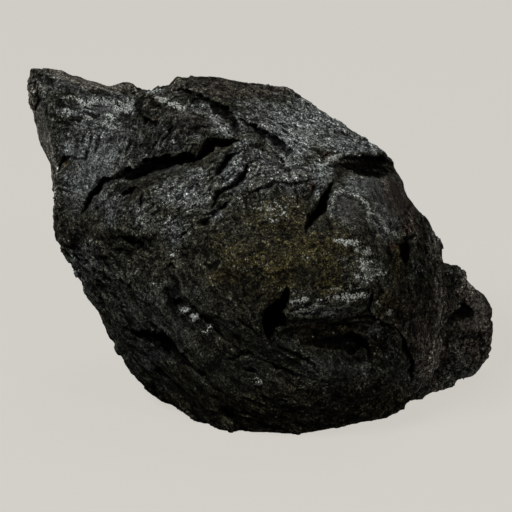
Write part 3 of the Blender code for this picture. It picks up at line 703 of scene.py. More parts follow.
# %% The lips of the right side, the horn and the fringe
LIPS |= {
    "right of the bulge": [
        (36.6, -2.6, 0.9, 1.2), (35.4, 0.0, 2.0, 4.0), (35.4, 2.8, 3.2, 4.6), (36.2, 4.6, 2.2, 3.4),
        (39.0, 5.2, 0.9, 1.0),
    ],
    "lobe hollow": [
        (47.4, -17.4, 0.8, 0.8), (49.2, -15.2, 2.0, 3.0), (50.8, -13.9, 3.0, 5.0), (52.8, -12.8, 3.6, 6.5),
        (54.8, -13.9, 2.4, 5.5), (55.6, -16.2, 0.8, 0.8),
    ],
    "slab notch": [
        (-49.4, 21.2, 0.6, 0.8), (-48.8, 23.4, 1.5, 1.9), (-47.6, 24.7, 2.1, 1.8), (-46.2, 24.8, 1.4, 1.2),
        (-45.0, 24.2, 0.6, 0.6), (-42.2, 24.0, 0.4, 0.4),
    ],
    "horn's dark line": [
        (-55.2, 36.8, 0.6, 0.8), (-54.8, 38.6, 0.9, 1.6), (-55.0, 41.2, 0.9, 1.4), (-54.6, 43.0, 0.5, 0.4),
    ],
    "horn's step": [(-52.6, 35.0, 0.5, 0.5), (-52.2, 36.4, 0.7, 1.0), (-52.4, 38.0, 0.5, 0.4)],
    "fringe crack, right": [(9.7, 10.8, 0.4, 0.3), (9.9, 14.0, 0.6, 1.2), (9.6, 17.0, 0.5, 0.6)],
    "fringe crack, far right": [(13.5, 14.8, 0.5, 0.4), (13.6, 16.6, 0.8, 1.2), (14.0, 18.2, 0.5, 0.4)],
    "fringe crack, middle": [(4.7, 15.0, 0.4, 0.4), (5.0, 16.8, 0.7, 1.2), (5.2, 18.0, 0.4, 0.4)],
    "fringe crack, left": [(0.5, 11.8, 0.4, 0.3), (0.6, 13.8, 0.6, 1.0), (0.2, 16.0, 0.5, 0.6)],
    "rim of the round facet": [
        (18.0, 9.6, 0.8, -0.2), (18.3, 12.4, 1.2, -0.6), (18.9, 15.2, 1.3, -0.7), (20.6, 16.0, 1.2, -0.7),
        (25.0, 14.8, 1.2, -0.7), (26.7, 13.0, 1.2, -0.7), (27.6, 10.2, 1.0, -0.6), (30.2, 9.8, 1.0, -0.6),
        (31.4, 7.4, 1.0, -0.6), (32.4, 5.8, 0.8, -0.2),
    ],
    "streak on the wedge block": [
        (-25.6, 40.0, 0.6, -0.2), (-23.4, 39.2, 1.2, -0.8), (-20.6, 37.9, 1.2, -0.9),
        (-17.2, 36.4, 0.8, -0.3),
    ],
    "bar beside the hollow": [
        (17.0, 22.6, 0.6, -0.3), (18.2, 23.8, 1.4, -1.2), (19.8, 25.0, 1.4, -1.2), (21.2, 25.4, 0.6, -0.3),
    ],
    "bright chip, first": [(-18.9, -14.3, 0.8, -0.2), (-17.7, -13.3, 1.4, -1.1), (-16.2, -12.3, 0.9, -0.3)],
    "bright chip, second": [(-16.0, -15.9, 0.8, -0.2), (-14.8, -14.8, 1.4, -1.1), (-13.4, -13.8, 0.9, -0.3)],
    "bright chip, low": [(-0.7, -31.3, 0.7, -0.2), (0.3, -30.4, 1.2, -0.9), (1.4, -29.6, 0.8, -0.2)],
    "bright chip, right": [(31.4, -14.8, 0.7, -0.2), (32.6, -13.9, 1.2, -0.9), (33.8, -13.1, 0.8, -0.2)],
    "scarp": [
        (-3.0, 15.8, 0.6, 0.4), (0.6, 16.6, 1.4, 1.2), (4.4, 18.0, 1.4, 1.4), (9.0, 18.2, 1.2, 1.0),
        (13.6, 18.8, 0.8, 0.8), (17.4, 19.6, 0.5, 0.4),
    ],
}
print(len(LIPS), "lips")

# %% Cutting along the lips
LIP_BENDS = ((2.4, 0.35), (1.0, 0.34))  # size of each wander and how far it takes a lip, in millimetres
LIP_ACROSS_SALT, LIP_UP_SALT = 60, 70
LIP_REACH = 7  # no lip is wider than this, in millimetres
FLOOR_SHAPE = 2.4  # how long a cut's floor stays deep before it rises: 1 is a plain ramp
STRAIGHT_IN = np.array((0.0, 0.0, -1.0))
ASIDE = {"lobe hollow": np.array((-0.8, 0.0, -0.6))}  # where the skin faces right, a cut goes in from there


def from_lip(points, lip):
    """For flat points: how far each is to the right of the lip (above zero) or to its left, and the
    two values that the lip's corners give there, such as its width and its depth."""
    corners = np.array(lip, float)
    nearest = np.full(len(points), np.inf)
    side = np.zeros(len(points))
    size = np.zeros((len(points), 2))
    for start, end in zip(corners, corners[1:]):
        piece = end[:2] - start[:2]
        gap = points - start[:2]
        share = np.clip(gap @ piece / (piece @ piece), 0, 1)
        distance = np.linalg.norm(gap - share[:, None] * piece, axis=1)
        closer = distance < nearest
        nearest[closer] = distance[closer]
        turn = (piece[1] * gap[:, 0] - piece[0] * gap[:, 1])[closer]
        side[closer] = np.where(turn > 0, distance[closer], -distance[closer])
        size[closer] = start[2:] + share[closer, None] * (end[2:] - start[2:])
    return side, size[:, 0], size[:, 1]


def lipped(points, _):
    face = along_face(points)
    front = on_front(face)
    bent = face[:, :2].copy()
    for number, (size, far) in enumerate(LIP_BENDS):
        bent += wander(points, size, far, LIP_ACROSS_SALT + number, LIP_UP_SALT + number)
    for name, lip in LIPS.items():
        corners = np.array(lip)[:, :2]
        low, high = corners.min(0) - LIP_REACH, corners.max(0) + LIP_REACH
        near = np.all((bent > low) & (bent < high), axis=1)
        side, width, depth = from_lip(bent[near], lip)
        share = np.clip(side / width, 0, 1)
        push = depth * (1 - share**FLOOR_SHAPE) * (side > 0) * front[near]
        face[near] += push[:, None] * ASIDE.get(name, STRAIGHT_IN)
    return off_face(face)


move_skin(lump, lipped)

# %% [markdown]
# ## Grit, and a flat foot
#
# Last comes the grit that roughens even the smoothest break. A Displace modifier with a noise
# texture would do it too, but the cloud is already here. It is used twice, the second time about half
# as large and lower. A few points then stick out like thorns, and are pressed back. The foot is made
# flat again, so that the stone stands on the ground and not in it, and a Decimate modifier thins the
# net where it lies flat.

# %% Grit
GRIT = ((2.2, 0.16), (1.1, 0.10))  # size and height of each cloud, in millimetres
GRIT_SALT = 80
THORN = 0.30  # what stands further out of its neighbours than this is a thorn
THORN_ROUNDS = 2


def gritty(points, normals):
    return points + normals * clouds(points, GRIT, GRIT_SALT)[:, None]


def proudness(obj, rounds):
    """How far each point stands out of the skin around it, in millimetres."""
    points, normals = skin_points(obj)
    ends = np.empty(len(obj.data.edges) * 2, np.int32)
    obj.data.edges.foreach_get("vertices", ends)
    ends = ends.reshape(-1, 2)
    count = np.bincount(ends.ravel(), minlength=len(points))[:, None]
    smooth = points.copy()
    for _ in range(rounds):
        total = np.zeros_like(smooth)
        for axis in range(3):
            total[:, axis] = np.bincount(ends[:, 0], smooth[ends[:, 1], axis], len(points))
            total[:, axis] += np.bincount(ends[:, 1], smooth[ends[:, 0], axis], len(points))
        smooth = 0.5 * smooth + 0.5 * total / count
    return np.sum((points - smooth) * normals, axis=1)


def unspiked(points, normals):
    """Points that stick out like a thorn, pressed back to their neighbours."""
    proud = proudness(lump, THORN_ROUNDS)
    return points - normals * (proud * (proud > THORN))[:, None]


move_skin(lump, gritty)
move_skin(lump, unspiked)
move_skin(lump, unspiked)

# %% The foot, and a thinner net
FOOT = 0.45  # what is lower than this is pressed flat, in millimetres
MOST_TRIANGLES = 196_000


def footed(points, _):
    """Flat under the foot, and nowhere outside the plain solid's box."""
    low, high = np.array(cad_box) / MM
    points = np.clip(points, low, high)
    points[points[:, 2] < FOOT, 2] = 0
    return points


move_skin(lump, footed)
triangles = 2 * len(lump.data.polygons)
if triangles > MOST_TRIANGLES:
    apply_modifier(lump, "DECIMATE", ratio=MOST_TRIANGLES / triangles, use_collapse_triangulate=True)
    move_skin(lump, footed)
lump.data.shade_smooth()
lump.data.calc_loop_triangles()
print("stone:", len(lump.data.loop_triangles), "triangles")

# %% [markdown]
# ## What the skin knows about itself
#
# The finish darkens the hollows as painted shade and brightens the edges, partly as rubbed wear and
# partly as a painted highlight, so the material has to know which is which. Cycles has a Pointiness
# value for this, but it sees only the nearest points. Here the skin measures itself.
# Each point is compared with the average of its neighbours, round after round: where it stands proud
# there is an edge, and where it lies deep there is a hollow. The answer is stored on the points as an
# attribute, which a material can read.

# %% Edges and hollows
FINE_ROUNDS, BROAD_ROUNDS = 4, 60
EDGE = (0.01, 0.12)  # how proud the skin is where an edge begins and where it is full, in millimetres
FINE_HOLLOW, BROAD_HOLLOW = (0.02, 0.14), (0.15, 1.2)  # and how deep it lies for a hollow


def store(obj, name, values):
    """Keeps a number for each point under this name."""
    kept = obj.data.attributes.new(name, "FLOAT", "POINT")
    kept.data.foreach_set("value", np.clip(values, 0, 1).astype(np.float32))
    print(name, "is", values.mean().round(3), "on average")


fine = proudness(lump, FINE_ROUNDS)
broad = proudness(lump, BROAD_ROUNDS)
# edge: where the finish paints a highlight, partly rubbed wear; hollow: where it paints shade
store(lump, "edge", fade(fine, *EDGE))
store(lump, "hollow", np.maximum(fade(-fine, *FINE_HOLLOW), fade(-broad, *BROAD_HOLLOW)))

# %% [markdown]
# ## Where the colour changes
#
# Gilsonite is black with a brown streak. The rounded middle shows that brown: it is smooth, and
# light goes a little way into it. The slab and the top slope, which face the light, are painted pale
# and cool: partly a bloom of fine dust, partly painted sheen. The side faces are painted warmer and
# lighter, a warm tone with painted light on it, and the lower part, the deep hollows and the cracks
# are painted almost black as painted shade. All this could be painted by hand in vertex paint mode,
# but strokes can't be corrected by a number later. So each change of colour is a soft patch, given
# by its middle, its reach both ways and its strength, and clouds fray its edge.

# %% The dust and painted sheen, and the glitter
#   patch: (across, up, reach across, reach up, strength)
PATCHES = {
    # pale cool paint on the faces that look up to the light: partly a bloom of dust, partly painted sheen
    # and light
    "dust_and_sheen": [
        (-39.5, 26, 8.5, 12, 0.82), (-40, 36.5, 10, 3.2, 1.0), (-33, 37.5, 5, 3, 1.0), (-44, 18, 6, 7, 0.78),
        (-45, 42, 6, 3.4, 0.5), (-52, 36, 4, 8, 0.1), (-25.4, 41.2, 3, 1.2, 0.95), (-14, 36.4, 5, 2.0, 0.6),
        (-8, 31, 3, 1.8, 0.9), (28, 28, 6, 3, 1.0), (52, -26, 6, 5, 0.45), (42, -30, 8, 5, 0.3),
        (33, 6, 3, 3, 0.5), (-19, 15, 7, 3.6, 0.85), (-35, 10.6, 4, 3.4, 0.6), (-29, 12, 5, 2.4, 0.3),
        (-20, 7, 3, 4, 0.6), (-10, 10.2, 2, 1.6, 0.6), (-15, 20, 3, 2, 0.7), (-37, 13, 6, 4, 0.6),
        (-26.5, 8.5, 5, 3, 0.2), (15.2, 15.4, 1.4, 2, 0.7), (-5, 35.4, 2, 1.6, 0.7), (0, 25, 2.4, 1.4, 0.9),
        (13, 34, 17, 6, 0.95), (22, 28, 8, 4, 1.0), (10, 30, 8, 6, 1.0), (-4, 21, 6, 5, 0.85),
        (5, 20, 9, 5, 0.9), (26, 16.4, 6, 3, 0.7), (33.6, 9, 2.6, 2.4, 0.6), (50, -30, 8, 5, 0.35),
        (16, 21, 3, 4, 1.0), (22, 12, 5, 4.5, 0.52), (-54, 43, 5, 4, 0.25), (-11, 33.4, 4, 3, 0.45),
        (-24.8, -24.4, 2.4, 1.4, 0.35), (-19.6, 40.6, 1.0, 0.7, 0.9), (56.6, -12, 2.2, 6, 0.5),
        (-54, 34, 2.2, 8, 0.35), (19.5, 23.8, 1.6, 1.0, 1.0), (52, -20, 9, 9, 0.3),
        (-3, 27.5, 2.4, 1.4, 1.0), (18, -13, 10, 2.0, 0.45), (16, -27, 6, 4, 0.25), (27, -30, 6, 4, 0.22),
        (18, -31, 5, 3, 0.3), (18, -35, 6, 2.6, 0.35), (31.5, -16.4, 3, 3, 0.25), (45, 4.5, 2, 3, 0.6),
        (35.4, 20, 1.4, 2, 0.5), (50, -20, 2.6, 2.4, 0.5), (39.8, -3.2, 2.4, 1.6, 0.3),
        (25, -3, 6, 4.5, 0.18), (51, -20, 7, 7, 0.30), (51, -6, 3, 4, 0.25), (-43, 0, 4, 5, 0.35),
        (-45, -4, 3, 5, 0.45), (-32, 31, 4, 4, 0.35), (-14.6, 29.6, 3, 1.6, 0.5), (31, 10, 4, 4, 0.75),
        (29.5, -18.8, 2.6, 1.2, 0.5),
    ],
    "glitter": [
        (5, 10.6, 7, 3, 0.65), (-26, -10, 12, 10, 0.2), (10, -26, 24, 10, 0.18), (42, -4, 3.4, 8, 0.3),
        (-3, -3, 6, 2, 0.5), (8, -8.6, 6, 1.2, 0.5), (20, -8.0, 6, 0.9, 0.7), (33, 22.8, 1.8, 2.4, 0.45),
        (24, 23.3, 2.2, 0.6, 0.45), (22.6, 3.2, 2.8, 1.4, 1.0), (26.8, 1.2, 2.0, 1.4, 1.0),
        (26, -2, 3.0, 1.7, 0.8), (27.6, -4.6, 3.4, 1.6, 0.8), (24.6, -5.6, 3, 2.4, 0.5),
        (31, -2.6, 2.0, 3.0, 0.3), (20, -7.6, 5, 1.4, 0.5), (20.6, -0.4, 2, 1.6, 0.75),
        (22, -2.6, 2, 1.4, 0.45), (34, -1.6, 0.8, 1.6, 0.5), (32.6, -13.8, 1.3, 1.2, 1.0),
        (29, -11.6, 2.2, 1.8, 0.55), (-23.4, -7.4, 3.4, 3.2, 0.35), (27.4, 10.4, 1.2, 2.2, 0.8),
        (31.2, 8.2, 1.2, 1.4, 0.9), (34.6, 8.6, 1.6, 1.6, 0.6), (-17.4, -13.1, 1.6, 1.2, 1.0),
        (-14.7, -14.8, 1.5, 1.3, 1.0), (-11.8, -18.4, 0.9, 1.1, 0.7), (12, 0, 9, 2.0, 0.45),
        (2, -1, 7, 3, 0.55), (-8, 2, 5, 3, 0.4), (-36, 38, 3, 1.4, 0.75), (-32.6, 37, 3.0, 1.8, 0.85),
        (-42, 38.2, 2.4, 1.2, 0.8), (-36.6, 33.8, 2.4, 1.8, 0.7), (-42, 34.4, 2.4, 1.2, 0.6),
        (-20.5, 0.4, 2.6, 1.2, 0.6), (-26, -22.8, 2.4, 1.4, 0.45), (25.6, -31.2, 1.6, 1.4, 0.5),
        (0.3, -30.3, 1.2, 1.3, 0.75), (-28.4, 9, 3, 2.4, 0.7), (-24, 16.6, 2.4, 1.6, 0.7),
        (-35, 8.6, 2.4, 1.4, 0.6), (13, 29.8, 3.6, 3.2, 0.75), (17, 21.4, 2.6, 3.2, 0.6),
        (-31, 37, 1.2, 2.2, 0.8), (-6, 13, 4, 2, 0.6), (3, 12, 8, 3, 0.55), (18, 20, 2, 1.2, 0.7),
        (22, 29, 4, 2.6, 0.5), (30, 0.4, 1.6, 1.4, 0.6),
    ],
}
print(len(PATCHES["dust_and_sheen"]) + len(PATCHES["glitter"]), "patches")

# %% Slate, calm and gleam
PATCHES |= {
    "slate": [
        (39.6, -3.6, 2.6, 3.6, 0.8), (-40, 38, 9, 4, 0.5), (-18, 40, 6, 3, 0.7), (-22, 31, 8, 5, 0.8),
        (-25, 26, 8, 6, 0.85), (-14, -8, 5, 5, 0.7), (33, -31, 10, 4, 0.6), (-46, 44, 5, 3, 0.5),
        (-26, -19, 13, 13, 0.65), (-15, -30, 12, 6, 0.5), (20, -27, 7, 4.5, 0.6), (-12, -10, 5, 4, 0.4),
        (0, -28, 8, 4, 0.4), (-37, -7, 9, 8, 0.5), (33, -25, 3.6, 7, 0.8), (-7, -17, 3, 2.4, 0.5),
        (5, -22, 6, 2.2, 0.6), (-38, 37, 2.4, 2.0, 0.6), (-24.6, -24.4, 2.8, 1.8, 1.0),
        (-19, -17, 5, 7, 0.7), (-20, -30, 10, 6, 0.3),
    ],
    "calm": [
        (-40, 25, 9, 9, 0.6), (-42, 14, 6, 8, 0.6), (22.6, 11.6, 5, 4.6, 1.0), (28, 17, 4, 3, 0.8),
        (34.5, 14, 4, 7, 0.9), (-16, 33, 6, 3.4, 0.7), (-26, -19, 13, 13, 0.3), (-15, -30, 12, 6, 0.4),
        (20, -27, 8, 5, 0.6), (-22, 22, 10, 2, 0.5), (-38, 14, 5, 5, 0.4), (-38, 37, 2.4, 2.0, 0.8),
        (-42, 43.5, 12, 1.8, 0.8), (57, -14, 3, 6, 0.9), (-7, -17, 3, 2.4, 0.5), (5, -22, 6, 2.2, 0.6),
        (0, -30, 14, 6, 0.2), (5, -3, 18, 9, 0.15), (-24.6, -24.4, 2.8, 1.8, 0.7), (-19, -17, 5, 7, 0.7),
        (46.5, -8, 1.4, 12, 0.4), (-53.6, 32, 2.4, 9, 0.8), (-30, 17, 8, 4, 0.4), (-48, 45, 6, 2, 0.4),
    ],
    "gleam": [
        (-17.2, -13.2, 1.3, 0.7, 1.0), (-14.9, -14.7, 1.1, 0.9, 1.0), (-13, -18.6, 0.5, 0.6, 0.7),
        (0.3, -30.3, 0.6, 0.9, 0.8), (-8, -23.2, 0.5, 0.4, 0.6), (11, -22.8, 0.6, 0.3, 0.8),
        (21.6, -25.9, 1.3, 0.5, 0.6), (32.4, -13.8, 0.9, 0.9, 0.8), (23.8, 20.7, 0.7, 0.4, 0.8),
        (19.2, 24.0, 1.4, 0.7, 0.9), (24.5, -7.7, 0.5, 0.4, 0.7), (-19.6, 40.8, 0.8, 0.5, 0.8),
        (-30.9, 31, 0.4, 0.4, 0.6), (-20.1, 28.2, 0.5, 0.5, 0.7), (-32.6, 37.2, 2.2, 1.8, 0.45),
        (-36, 34.6, 1.0, 0.7, 0.8), (-42, 38.2, 1.8, 0.6, 0.6), (22.4, 3.4, 2.2, 0.7, 0.75),
        (24.2, 2.0, 1.4, 0.5, 0.6), (27.2, -5.6, 1.4, 0.6, 0.6), (30.4, -4.2, 0.9, 0.5, 0.7),
        (27, -3.2, 1.6, 0.5, 0.8), (26.2, -1.2, 2.0, 0.8, 0.7), (33.6, -14.2, 0.8, 0.6, 0.7),
        (-24.8, -6.5, 0.4, 0.4, 0.9), (-23.6, -7.5, 0.7, 0.5, 0.7), (-22.6, -8.2, 0.4, 0.3, 0.7),
        (-21.2, -9.0, 0.5, 0.3, 0.6), (-20.3, 0.1, 0.7, 0.5, 0.7), (34.4, 5.4, 0.6, 0.5, 0.7),
        (-6.4, -1.0, 2.0, 0.7, 0.3), (12, -0.4, 3, 0.8, 0.2), (29.4, -11.6, 1.2, 0.9, 0.5),
        (24.8, -7.7, 0.4, 0.3, 1.0), (22.8, -7.5, 0.4, 0.3, 0.8), (19.2, -8.5, 0.5, 0.4, 1.0),
        (17.2, -7.5, 0.6, 0.3, 0.7),
    ],
}
print(len(PATCHES["slate"]) + len(PATCHES["calm"]) + len(PATCHES["gleam"]), "patches")

# %% Brown, a warm tone with painted light, and stain
PATCHES |= {
    "brown": [
        (2, -4, 15, 8.6, 0.9), (13, 0, 13, 8, 0.75), (17, -6, 5, 4, 0.8), (-8, -5, 6, 4, 0.5),
        (4, 20, 8, 3, 0.3), (-18, -29, 6, 4, 0.3), (17, -20, 6, 3, 0.5), (-47.4, 23.4, 1.6, 1.4, 0.8),
        (-6, 1, 7, 5, 0.6), (32, -13, 3, 5, 0.6), (7, 9, 10, 4, 0.6), (-8, -36, 24, 5, 0.35),
        (22, -36, 20, 6, 0.4), (34.6, 0, 2.4, 8, 0.45),
    ],
    # a warmer tone on the side faces and the lobe, with painted light on them
    "warm_and_lit": [
        (10, 44, 18, 2.6, 0.7), (30, 33, 3, 2, 0.4), (-56, 34, 3, 12, 0.8), (-52, 14, 3, 10, 0.6),
        (35, 14.5, 3.6, 6.5, 0.9), (22.8, 11.4, 3.4, 3.2, 0.5), (-16, 33.6, 6, 3.0, 0.5),
        (40, -16, 6, 9, 0.6), (44, -25, 6, 9, 0.9), (53, -19, 9, 12, 0.8), (45.6, -12, 1.2, 14, 1.0),
        (38, 12, 4, 7, 0.7), (45, 1, 3, 5, 0.6), (-46, 5, 6, 4, 0.3), (-10, 42, 20, 3, 0.4),
    ],
    "stain": [
        (33.4, 2.6, 1.6, 1.0, 0.5), (37.5, 7.5, 2.2, 2.2, 0.3), (-47.6, 23.8, 1.2, 1.0, 0.5),
        (16, -17.6, 6, 1.4, 0.25), (35, -14, 3, 4, 0.2), (13.6, 17, 0.9, 1.6, 0.7), (10, 14, 0.6, 2.6, 0.5),
        (-39.6, 41.4, 1.4, 0.8, 0.6), (17.6, 24.4, 1.4, 1.4, 0.6), (-25.2, 33.4, 1.4, 1.2, 0.6),
    ],
}
print(len(PATCHES["brown"]) + len(PATCHES["warm_and_lit"]) + len(PATCHES["stain"]), "patches")

# %% The painted shade
PATCHES |= {
    # painted shade: near black where the underside, the hollows and the cracks fall in shade
    "painted_shade": [
        (-10, -34, 30, 8, 0.6), (20, -38, 25, 7, 0.8), (-36, -20, 9, 9, 0.4), (25, -22, 6, 3.4, 1.0),
        (-31, 3, 6, 3.4, 0.8), (-37, -0.4, 3, 2, 0.7), (41.5, -7.4, 3.8, 3.6, 1.0), (37, -8, 2.4, 6, 0.8),
        (38, 2.5, 2.4, 2.4, 0.8), (41, 1, 3.0, 4, 0.6), (42.4, -4, 3.6, 8, 0.6), (37.0, 1.4, 1.7, 2.8, 1.0),
        (43.4, -4.6, 1.4, 4.8, 1.0), (41.6, -9.0, 3.0, 1.3, 1.0), (-22, -21.6, 3.6, 2.4, 1.0),
        (-18.6, -24.4, 1.6, 1.6, 0.9), (-19, 31.5, 5, 2.4, 0.4), (-25, 30, 4, 2, 0.3),
        (26, 21.4, 6, 1.6, 0.8), (52.4, -15.0, 3.2, 1.9, 1.0), (49, -16.6, 1.6, 1.2, 0.9),
        (-32, 12.5, 3, 2.2, 0.5), (7.4, -17, 3.2, 4, 0.9), (-2, -24.5, 2, 3, 0.6), (19, -17, 9, 1.6, 0.5),
        (31, -29, 4, 4, 0.8), (17, -20, 9, 3.0, 0.9), (-23, -21, 6, 2.4, 0.9), (-38.5, -7.5, 2.6, 2.6, 0.8),
        (49.4, -8, 1.6, 5, 0.8), (-25.6, 37.0, 1.6, 1.6, 0.5), (-16.2, 39.3, 4.2, 1.5, 0.85),
        (-25.4, 33.2, 2.0, 1.3, 0.9), (31.5, -16.6, 2.6, 1.0, 0.8), (13.8, 14.4, 1.2, 2, 0.3),
        (28, 22, 6, 2.0, 1.0), (-44, 38.5, 1.4, 0.5, 0.8), (-45.4, 36.6, 1.6, 0.6, 0.7),
        (-49, 37, 1.4, 0.6, 0.7), (-49.5, 34.6, 1.4, 0.6, 0.7), (-45, 33.8, 1.4, 0.7, 0.9),
        (-41.5, 33.5, 0.9, 0.5, 0.9), (-52, 35.5, 1.0, 0.7, 0.7), (-48, 42, 1.4, 0.6, 0.5),
        (-34, 33.6, 2.0, 1.2, 0.5), (-45, 6, 6, 3, 0.15), (-18.6, -11.2, 1.4, 1.4, 1.0),
        (4.6, -15, 3, 4.5, 1.0), (0.6, -15.5, 2.2, 3.2, 0.7), (30.5, -22, 2.6, 3.6, 0.9),
        (34, -20, 2.2, 1.8, 0.5), (15, -24, 3, 2.4, 0.5), (15, -2, 3, 3, 0.3), (37, -24, 2, 6, 0.5),
        (-2, -8, 14, 6, 0.7), (-2, -24, 20, 9, 0.8), (-20, -7, 6, 5, 0.5), (12, -4, 6, 3, 0.7),
        (20, -26, 12, 6, 0.6), (49, -18, 3, 5, 0.6), (38, -14, 4, 6, 0.5), (43, -14, 2, 6, 0.3),
        (-37.5, 30.6, 4, 2.4, 0.25), (-4, 25, 2.4, 1.6, 0.4), (-32, 10, 3, 3, 0.4),
    ],
}
print(len(PATCHES["painted_shade"]), "patches")

# %% [markdown]
# ## What is too thin for a patch
#
# The lips of the ledges gleam with painted highlights, short dark strokes of painted shade stand on
# the slab and in other cracks, and the side faces show as warm rims of painted light. They are all
# lines, so they are given as lines, with the same kind of corners as the lips above, and measured
# with the same helper.

# %% Lines that gleam
#   line: corners of (across, up, width, strength)
LINES = {
    "gleam": [
        [(8.4, -11.0, 0.5, 0.8), (10, -10.7, 0.6, 0.9), (12.8, -10.6, 0.6, 0.9), (14, -10.6, 0.3, 0.4)],
        [(14.8, -10.7, 0.4, 0.6), (16.6, -10.4, 0.4, 0.7), (18.0, -10.1, 0.6, 0.9), (20.4, -9.6, 0.7, 1.0),
         (22.4, -9.7, 0.7, 1.0), (24.6, -9.6, 0.7, 1.0), (27.6, -9.2, 0.6, 0.9)],
        [(9.4, -13.3, 0.25, 0.4), (12.0, -12.8, 0.25, 0.4)],
        [(18.4, -11.0, 0.3, 0.4), (24, -10.7, 0.3, 0.4)], [(23.8, -4.7, 0.3, 0.9), (25.4, -5.2, 0.3, 0.9)],
        [(25.4, -3.1, 0.4, 1.0), (28.0, -3.3, 0.4, 1.0)], [(27.6, -4.7, 0.3, 0.9), (30.8, -4.4, 0.35, 0.9)],
        [(26.0, -5.2, 0.3, 0.8), (27.0, -6.2, 0.3, 0.8)],
        [(18.8, 3.9, 0.4, 0.9), (22.0, 3.6, 0.5, 1.0), (24.6, 2.8, 0.4, 0.9)],
        [(24.0, 1.6, 0.3, 0.9), (27.4, 0.9, 0.35, 0.9)], [(24.6, -1.0, 0.35, 0.9), (28.6, -1.6, 0.4, 0.9)],
        [(-19.6, -10.6, 0.3, 0.8), (-18.6, -9.9, 0.3, 0.8)],
        [(18.2, 10.8, 0.3, 0.1), (18.5, 13, 0.5, 0.3), (19.0, 15, 0.6, 0.5), (20.6, 15.8, 0.8, 0.6),
         (23, 15.5, 0.6, 0.4), (25, 14.6, 0.5, 0.55), (26.8, 12.8, 0.5, 0.95), (27.6, 10.4, 0.4, 0.8),
         (28.6, 9.8, 0.25, 0.6), (30.2, 9.6, 0.4, 0.8), (31.0, 8.2, 0.3, 0.7), (31.6, 6.8, 0.5, 0.95),
         (32.4, 5.8, 0.5, 0.9)],
        [(33.6, 5.7, 0.4, 0.9), (34.8, 5.3, 0.4, 0.9)],
        [(17.6, 23.1, 0.5, 0.9), (19.0, 24.2, 0.8, 0.95), (20.8, 25.0, 0.5, 0.9)],
        [(-25.0, 39.6, 0.5, 0.9), (-21.8, 38.1, 0.8, 1.0), (-18.2, 36.5, 0.5, 0.9)],
        [(-46, 39.6, 0.35, 0.7), (-43.6, 38.6, 0.5, 0.9), (-41.4, 37.2, 0.4, 0.8)],
        [(-38.2, 38.9, 0.4, 0.8), (-36.2, 37.6, 0.4, 0.8), (-34.6, 36.6, 0.4, 0.8)],
        [(-43.2, 34.9, 0.35, 0.8), (-40.8, 34.0, 0.35, 0.8)],
        [(-37.4, 34.9, 0.5, 0.9), (-36.4, 34.9, 0.5, 0.9)],
        [(-48.6, 39.4, 0.2, 0.5), (-46.6, 39.6, 0.2, 0.5)], [(-38, 33, 0.4, 0.6), (-36.2, 31.8, 0.4, 0.5)],
        [(-12.2, -18.8, 0.35, 0.9), (-10.9, -16.9, 0.35, 0.9)],
        [(-13, 35.2, 0.5, 0.5), (-10.4, 34.4, 0.6, 0.55), (-8.4, 31.6, 0.5, 0.5), (-6.4, 30.4, 0.5, 0.5)],
        [(1, 11.6, 0.2, 0.6), (1.6, 10.9, 0.2, 0.6)], [(2.3, 12.9, 0.2, 0.7), (3.2, 11.6, 0.2, 0.7)],
        [(5.0, 12.8, 0.2, 0.6), (5.7, 12.0, 0.2, 0.7)], [(6.4, 11.2, 0.25, 0.9), (7.0, 10.4, 0.25, 0.9)],
        [(-1.6, 12.4, 0.2, 0.6), (-0.4, 11.6, 0.2, 0.6)], [(9.8, 12.6, 0.2, 0.6), (10.3, 11.8, 0.2, 0.6)],
        [(7.4, 9.6, 0.2, 0.8), (8.0, 8.6, 0.2, 0.8)], [(-4.6, 14.6, 0.2, 0.7), (-3.4, 13.4, 0.2, 0.7)],
        [(11.4, 10.2, 0.2, 0.8), (12.0, 9.2, 0.2, 0.8)], [(3.4, 9.0, 0.2, 0.7), (4.2, 8.0, 0.2, 0.7)],
    ],
}
print(len(LINES["gleam"]), "lines")
